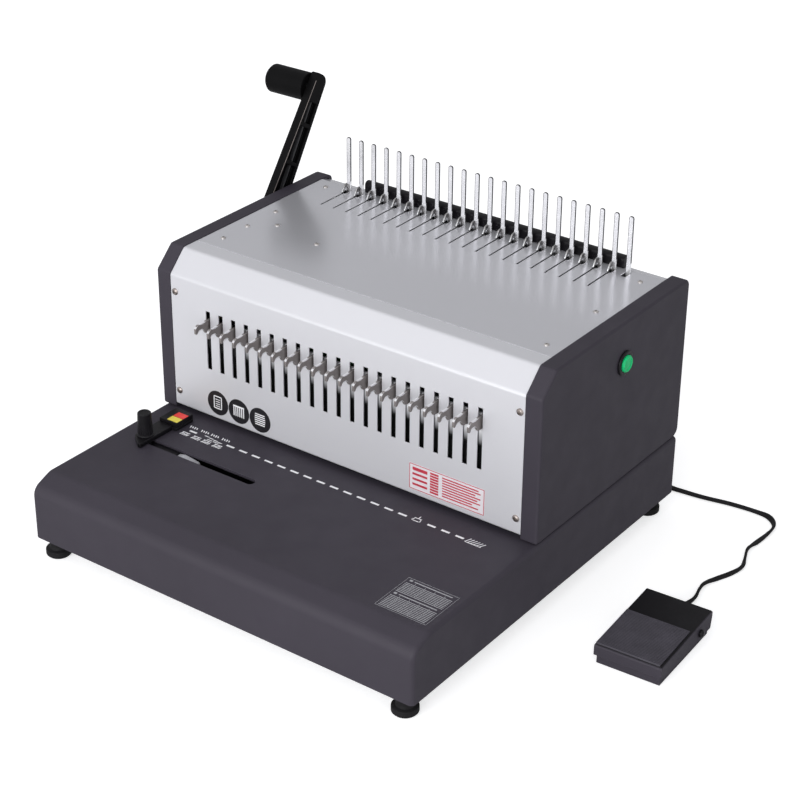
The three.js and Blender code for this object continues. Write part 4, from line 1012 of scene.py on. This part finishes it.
def on_pedal(obj):
    """Turns a piece built about the pedal's pivot (x across, y back from it, z from the table) into place."""
    place = Matrix.Translation(Vector((PEDAL_PIVOT.x, PEDAL_PIVOT.y, 0))) @ PEDAL_TURN
    to_machine = Matrix.Scale(1 / MM, 4) @ Matrix.Translation(-ORIGIN)
    obj.data.transform(to_machine.inverted() @ place @ to_machine)
    return obj


def pedal_top(y):
    """Height of the sloping lid."""
    return 18 + (y - PEDAL_FRONT) * 3.4 / (PEDAL_BACK - PEDAL_FRONT)


def on_lid(bm, y_low, y_high, lower, upper, half_low, half_high):
    """A thin plate that lies along the sloping lid, between two heights above it."""
    ends = ((y_low, lower, 0), (y_high, lower, 0), (y_high, upper, 0.2), (y_low, upper, 0.2))
    corners = [(y, pedal_top(y) + above, radius) for y, above, radius in ends]
    prism(bm, fillet(corners, steps=2), "x", half_low, half_high)


def pedal_base():
    half, front, back = PEDAL_HALF - 2, PEDAL_FRONT + 2, PEDAL_BACK - 3
    bm = bmesh.new()
    side = [(front, 0, 1), (back, 0, 1), (back, 14, 1), (-6.5, 16, 3), (-32.5, 12, 4), (front, 10.5, 0.6)]
    prism(bm, fillet(side, steps=4), "x", -half, half)
    hollow = bmesh.new()
    block(hollow, (-half + PEDAL_WALL, front + PEDAL_WALL, 1.6), (half - PEDAL_WALL, back - PEDAL_WALL, 30))
    prism(hollow, circle(-8, 7, 4.4, 32), "y", back - 6, back + 4)
    base = on_pedal(carve(shaped(bm, "pedal_base_tray"), hollow))
    dress(base, "machine", POWDER, "pedal_base")


def pedal_treadle():
    """A folded steel lid: skirt in front and on both sides, sloping top."""
    front, back, half, wall = PEDAL_FRONT, PEDAL_BACK, PEDAL_HALF, PEDAL_WALL
    outside = [(front, 8.4, 0.5), (front + 14, 5.6, 4), (back - 2, 5.6, 1), (back, 16, 1),
               (back, pedal_top(back), 1.2), (front, pedal_top(front), 1.8)]
    inside = [(front + wall, -5, 0), (back + 3, -5, 0), (back + 3, pedal_top(back + 3) - wall, 0),
              (front + wall, pedal_top(front) - wall, 0.6)]
    bm = bmesh.new()
    prism(bm, fillet(outside, steps=5), "x", -half, half)
    hollow = bmesh.new()
    prism(hollow, fillet(inside, steps=3), "x", wall - half, half - wall)
    lid = on_pedal(carve(shaped(bm, "pedal_treadle_lid"), hollow))
    dress(lid, "treadle", POWDER, "pedal_treadle", bevel=0.55, segments=3)


def pedal_pad():
    """Rubber mat with ridges that run across it, and the smooth strip behind it."""
    front, back, half = PEDAL_FRONT + 1.6, -12.5, PEDAL_HALF - 0.8
    under, rise, pitch, dip, lead, chamfer = 0.3, 1.5, 1.7, 0.45, 0.6, 0.35
    ridges = int((back - front - 1) / pitch)
    outline = [(front, pedal_top(front) + under)]
    for index in range(ridges):
        y = front + lead + index * pitch
        level = pedal_top(y) + under + rise
        valley = y + pitch * 0.62
        outline += [(y, level - dip), (y + chamfer, level), (valley, level), (valley + chamfer, level - dip)]
    end = front + lead + ridges * pitch
    outline += [(end, pedal_top(end) + under + rise - dip), (end, pedal_top(end) + under)]
    bm = bmesh.new()
    prism(bm, outline[::-1], "x", -half, half - 1.8)
    mat = on_pedal(shaped(bm, "pedal_ribbed_pad"))
    dress(mat, "treadle", RIBBED_RUBBER, "pedal_pad", bevel=0.12, segments=1)
    strip = bmesh.new()
    on_lid(strip, front - 0.6, PEDAL_BACK - 0.8, 0.05, 0.5, -half - 0.2, half + 0.2)
    dress(on_pedal(shaped(strip, "pedal_smooth_plate")), "treadle", BLACK, bevel=0.12, segments=1)


def pedal_pin():
    """The pivot rod with a domed screw head on each side."""
    z = PEDAL_PIVOT.z
    bm = bmesh.new()
    reach = PEDAL_HALF + 2
    lathe(bm, "x", (0, z), [(0, -reach), (1.5, -reach), (1.5, reach), (0, reach)], 24)
    for side in (-1, 1):
        near, rim, tip = (side * (PEDAL_HALF + out) for out in (0.4, 2.2, 3.7))
        head = [(0, near, 0), (3.4, near, 0.3), (3.4, rim, 0.9), (1.6, tip, 0.5), (0, tip, 0)]
        soft_lathe(bm, "x", (0, z), head, 32)
    dress(on_pedal(shaped(bm, "pedal_pivot_screws")), "machine", GLOSSY_BLACK, "pedal_pivot_pin", bevel=0.1)


def smooth_path(points, per_span=10):
    """Catmull-Rom curve through the points."""
    ends = [points[0] * 2 - points[1], *points, points[-1] * 2 - points[-2]]
    curve = []
    for p0, p1, p2, p3 in zip(ends, ends[1:], ends[2:], ends[3:]):
        for step in range(per_span):
            t = step / per_span
            curve.append(0.5 * (2 * p1 + (p2 - p0) * t + (2 * p0 - 5 * p1 + 4 * p2 - p3) * t * t
                                + (3 * p1 - p0 - 3 * p2 + p3) * t ** 3))
    return [*curve, points[-1]]


def pedal_cable():
    """Twin-core flat cable that leaves the socket, drops to the table and winds to the pedal, rolling
    on to its edge at the tight bends."""
    x, _, z = middle_of("pedal_socket")
    back, lying = BASE_HIGH.y, 1.6
    # x, y, z and the roll of the flat section in degrees
    stations = [
        (x, back - 3, z, 0), (x, back + 9, z - 2, 0), (x + 2, back + 19, 27, 0), (x + 6, back + 25, 10, 10),
        (x + 16, back + 28, lying + 0.8, 15), (198, 257.5, lying, 5), (217, 259.5, lying, 0),
        (242, 264.2, lying, 0), (266, 266, lying, 0), (280, 263.2, lying + 0.8, 35),
        (290, 253, lying + 1.1, 70), (291.6, 238, lying + 0.8, 40), (290, 220, lying + 0.1, 10),
        (289.4, 205, lying + 1.1, 75), (294.5, 190, lying + 1.1, 80), (298.5, 177, lying + 0.8, 40),
        (295.5, 164, lying, 5), (290, 150, lying, 0), (285.4, 136, lying + 0.7, 30),
        (286.4, 124, lying + 1.1, 75), (289, 112, lying + 0.8, 50), (288.6, 100, 2.9, 10),
        (287.2, 90, 4.6, 0), (286.3, 80, 6.8, 0), (286.4, 72, 7, 0),
    ]
    curve = smooth_path([Vector(station[:3]) for station in stations])
    rolls = [p.x for p in smooth_path([Vector((station[3], 0, 0)) for station in stations])]
    radius, spread = 1.25, 1.35
    turns = [math.radians(-76 + 152 * step / 8) for step in range(9)]
    core_arc = [(spread + radius * math.cos(turn), radius * math.sin(turn)) for turn in turns]
    rings = []
    for index, point in enumerate(curve):
        ahead = curve[min(index + 1, len(curve) - 1)] - curve[max(index - 1, 0)]
        tangent = ahead.normalized()
        level = tangent.cross(Vector((0, 0, 1))).normalized()
        side = Matrix.Rotation(math.radians(rolls[index]), 3, tangent) @ level
        lift = side.cross(tangent)
        rings.append([point + core * (side * out + lift * up) for core in (1, -1) for out, up in core_arc])
    bm = bmesh.new()
    loft(bm, rings)
    dress(shaped(bm, "pedal_flat_cable"), "machine", RUBBER, "pedal_cable", bevel=0, angle=60)


pedal_base()
pedal_treadle()
pedal_pad()
pedal_pin()
pedal_cable()

# ---------------------------------------------------------------- return springs


def return_spring(node, wire):
    """A coil of round wire that fills the box of its CAD node."""
    low, high = box_of(node)
    middle = (low + high) / 2
    radius = (high.x - low.x) / 2 - wire - 0.05
    turns, per_turn = 4, 28
    climb = high.z - low.z - 2 * wire - 0.1

    def build(bm):
        rings = []
        for step in range(turns * per_turn + 1):
            angle = 2 * math.pi * step / per_turn
            out = Vector((math.cos(angle), math.sin(angle), 0))
            tangent = Vector((-out.y * radius, out.x * radius, climb / (2 * math.pi * turns))).normalized()
            up = out.cross(tangent)
            level = low.z + wire + 0.05 + climb * step / (turns * per_turn)
            centre = Vector((middle.x, middle.y, level)) + out * radius
            rings.append([centre + out * p.x + up * p.y for p in circle(0, 0, wire, 10)])
        loft(bm, rings)

    coil = piece(node + "_coil", build, "machine", BRIGHT, node, bevel=0)
    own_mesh(coil)


return_spring("ram_spring_left", 0.8)
return_spring("ram_spring_right", 0.8)
return_spring("pedal_spring", 0.6)

# ---------------------------------------------------------------- printing

INK = 0.12  # height of printed shapes above the paint


def print_on(name, axis, face, shapes, material):
    """Closed (a, b) outlines standing INK proud of a face: +Z for axis z, -Y for axis y."""
    low, high = (face - 0.05, face + INK) if axis == "z" else (face - INK, face + 0.05)

    def build(bm):
        for outline in shapes:
            prism(bm, outline, axis, low, high)

    piece(name, build, "machine", material, bevel=0)


def bar(a, b, width, height, lean=0.0):
    """A rectangle about (a, b); lean shifts its top sideways."""
    w, h = width / 2, height / 2
    return [(a - w - lean, b - h), (a + w - lean, b - h), (a + w + lean, b + h), (a - w + lean, b + h)]


def frame_bars(low_a, low_b, high_a, high_b, width):
    """The four bars of an open rectangle."""
    mid_a, mid_b = (low_a + high_a) / 2, (low_b + high_b) / 2
    long_a, long_b = high_a - low_a, high_b - low_b
    return [bar(mid_a, low_b, long_a, width), bar(mid_a, high_b, long_a, width),
            bar(low_a, mid_b, width, long_b), bar(high_a, mid_b, width, long_b)]


def badges():
    """Three black discs with generic pictograms: a sheet, a comb and a stack."""
    centres = [(-135.0, 96.2), (-110.9, 95.6), (-86.8, 95.0)]
    print_on("front_badges", "y", 0, [circle(a, b, 11.8, 48) for a, b in centres], BLACK_INK)
    sheet, comb, stack = centres
    marks = frame_bars(sheet[0] - 4.2, sheet[1] - 5.4, sheet[0] + 4.2, sheet[1] + 6.4, 0.9)
    marks += [bar(sheet[0], sheet[1] + 3.4 - row * 2.2, 5.2, 0.6) for row in range(4)]
    marks += [bar(comb[0], comb[1] + 4.6, 12.4, 1.5)]
    marks += [bar(comb[0] - 5.5 + step * 2.2, comb[1] - 0.6, 1.0, 9.2) for step in range(6)]
    marks += [bar(stack[0], stack[1] + 5.4 - row * 2.0, 12.2 - abs(row - 2.5) * 0.6, 0.95)
              for row in range(6)]
    print_on("front_badge_marks", "y", -INK, marks, WHITE_INK)


def notice():
    """A generic red-framed notice: blocks and lines in place of words."""
    left, right, low, high = 74.0, 149.5, 85.3, 110.0
    field = bar((left + right) / 2, (low + high) / 2, right - left, high - low)
    print_on("front_notice_field", "y", 0, [field], PALE_INK)
    marks = frame_bars(left + 0.6, low + 0.6, right - 0.6, high - 0.6, 0.55)
    marks += [bar(left + 11, high - 4.6 - row * 4.9, 15, 2.0 if row else 3.0) for row in range(4)]
    marks += [bar(left + 25.5, high - 3.4 - row * 2.55, 8.4, 1.75) for row in range(8)]
    marks += [bar(left + 33.5 + length / 2, high - 3.6 - row * 2.45, length, 1.15)
              for row, length in enumerate((36, 38, 33, 38, 35, 38, 30, 36))]
    print_on("front_notice_marks", "y", -INK, marks, RED_INK)


def size_row():
    """Dashes at the hole positions and simple symbols at both ends of the row."""
    row = -25.0
    dashes = [bar(x, row, 8.4, 2.1) for x in HOLE_X if -102 < x < 88]
    dashes += [bar(x, row, 8.0, 2.1) for x in (-143, 115, 129, 143)]
    for x in (-150, -137, -125.5, -113):
        dashes.append(bar(x + 3.2, row - 4.6, 8.2, 0.9))
        for step in range(4):
            odd = step % 2
            dashes.append(bar(x + step * 2.3, row - 7.4 - odd * 0.5, 1.25, 3.6 - odd, 0.7))
            dashes.append(bar(x - 1 + step * 2.4, row + 6, 1.2, 3.2 - odd * 0.8, -0.5))
    dashes += [bar(-128 + step * 5.5, row + 1.2 - step * 0.7, 4.2, 0.9, 0.6) for step in range(4)]
    dashes += [bar(-122 + step * 7.0, row - 2.4, 5.4, 0.8, 0.5) for step in range(2)]
    dashes += [bar(100, row + 2.6, 7, 0.8), bar(100, row - 1.6, 6, 0.8), bar(96.6, row + 0.5, 0.8, 4.0, 0.6),
               bar(103.4, row + 0.5, 0.8, 4.0, -0.6), bar(100, row + 4.6, 0.8, 3.2)]
    dashes += [bar(151 + step * 2.9, row + 0.4, 0.8, 6.4 - step * 0.3, 1.3) for step in range(6)]
    dashes += [bar(158, row - 2.9, 15, 0.6)]
    print_on("base_size_row", "z", BASE_HIGH.z, dashes, WHITE_INK)


def base_table():
    """A generic two-block table of fine lines near the right front corner of the base."""
    left, right, low, high = 145.0, 193.0, -142.0, -97.0
    marks = frame_bars(left, low, right, high, 0.2)
    spacing = 1.9
    for block_low, block_high in ((low + 2, low + 19.5), (low + 24.5, high - 4.5)):
        lines = [block_low + line * spacing for line in range(int((block_high - block_low) / spacing))]
        marks += [bar((left + right) / 2, line, right - left - 4, 0.6) for line in lines]
        marks.append(bar((left + right) / 2 + 1.5, block_high + 1.6, right - left - 12, 1.0))
        marks.append(bar(left + 4.2, block_high + 1.6, 2.6, 2.0))
        middle = (block_low + block_high) / 2 - 0.4
        marks += [bar(left + 10 + column * 9.4, middle, 0.4, block_high - block_low) for column in range(4)]
    print_on("base_table_lines", "z", BASE_HIGH.z, marks, GREY_INK)


badges()
notice()
size_row()
base_table()

# ---------------------------------------------------------------- CAD nodes kept as they are


def carry(obj, material):
    """Keeps a CAD node as it is, with softened edges and a real finish."""
    paint(obj, material)
    weld = obj.modifiers.new("weld", "WELD")
    weld.merge_threshold = 0.01 * MM
    round_edges(obj, bevel=0.25, segments=2, angle=35)


for node, obj in frame["nodes"].items():
    if not obj.hide_render:
        # the front hook carriage takes the steel with painted shade; the other nodes keep their own finish
        carry(obj, HOOK_PLATE_WITH_PAINTED_SHADE if node == "front_hook_carriage" else FINISHES[SLOT_OF[node]])

# ---------------------------------------------------------------- stage, light and camera


def stage():
    """A pale floor that glows a little to the camera, so that it fades into the background."""
    bm = bmesh.new()
    bmesh.ops.create_grid(bm, x_segments=1, y_segments=1, size=6)
    mesh = bpy.data.meshes.new("floor")
    bm.to_mesh(mesh)
    bm.free()
    floor = bpy.data.objects.new("floor", mesh)
    bpy.context.scene.collection.objects.link(floor)
    paper = finish_of("studio_floor", (0.7, 0.7, 0.705), 0.8, mottle=(3, 0.01), grain=None)
    nodes = Nodes(paper.node_tree)
    glow = nodes.maths("MULTIPLY", nodes.camera_ray(), 0.6)
    nodes.feed(nodes.tree.nodes["Principled BSDF"], Emission_Color=(1, 1, 1), Emission_Strength=glow)
    mesh.materials.append(paper)


def world():
    """A bright studio: white to the camera, and darker towards the back in reflections and light."""
    sky = bpy.data.worlds.new("studio")
    bpy.context.scene.world = sky
    sky.use_nodes = True
    nodes = Nodes(sky.node_tree)
    behind = nodes.coordinate(nodes.add("ShaderNodeTexCoord").outputs["Generated"], "Y")
    lit = nodes.tree.nodes["Background"]
    nodes.feed(lit, Color=(0.97, 0.975, 1), Strength=nodes.span(behind, -0.5, 0.8, 0.95, 0.42))
    seen = nodes.feed(nodes.add("ShaderNodeBackground"), Color=(1, 1, 1), Strength=1.2)
    mix = nodes.add("ShaderNodeMixShader")
    nodes.feed(mix, nodes.camera_ray(), lit.outputs[0], seen.outputs[0])
    nodes.put(mix.outputs[0], nodes.tree.nodes["World Output"].inputs["Surface"])


def soft_light(name, place, target, size, power):
    data = bpy.data.lights.new(name, "AREA")
    data.shape = "RECTANGLE"
    data.size, data.size_y = size
    data.energy = power
    light = bpy.data.objects.new(name, data)
    light.location = place
    light.rotation_euler = (Vector(target) - Vector(place)).to_track_quat("-Z", "Y").to_euler()
    bpy.context.scene.collection.objects.link(light)


def camera():
    """The view from the right front, a little above the machine."""
    azimuth, elevation, roll = math.radians(36.25), math.radians(28.1), math.radians(0.42)
    distance = 1660.3
    target = Vector((58.07, 0, 179.46))
    level = math.cos(elevation)
    back = Vector((math.sin(azimuth) * level, -math.cos(azimuth) * level, math.sin(elevation)))
    data = bpy.data.cameras.new("camera")
    data.sensor_width = 36
    data.lens = 91.69
    data.shift_x = 0.007
    data.shift_y = -0.0224
    view = bpy.data.objects.new("camera", data)
    turn = back.to_track_quat("Z", "Y") @ Matrix.Rotation(roll, 3, "Z").to_quaternion()
    place = ORIGIN + (target + back * distance) * MM
    view.matrix_world = Matrix.Translation(place) @ turn.to_matrix().to_4x4()
    bpy.context.scene.collection.objects.link(view)
    bpy.context.scene.camera = view


stage()
world()
soft_light("key", (0.2, -2.1, 1.0), (0, 0, 0.12), (1.8, 1.2), 21.5)
soft_light("low", (0, -1.0, 0.2), (0, 0, 0.05), (1.4, 0.25), 1.5)
soft_light("side", (1.9, -1.2, 0.6), (0, 0, 0.12), (1.0, 0.8), 3)
camera()
bpy.context.scene.view_settings.view_transform = "Standard"
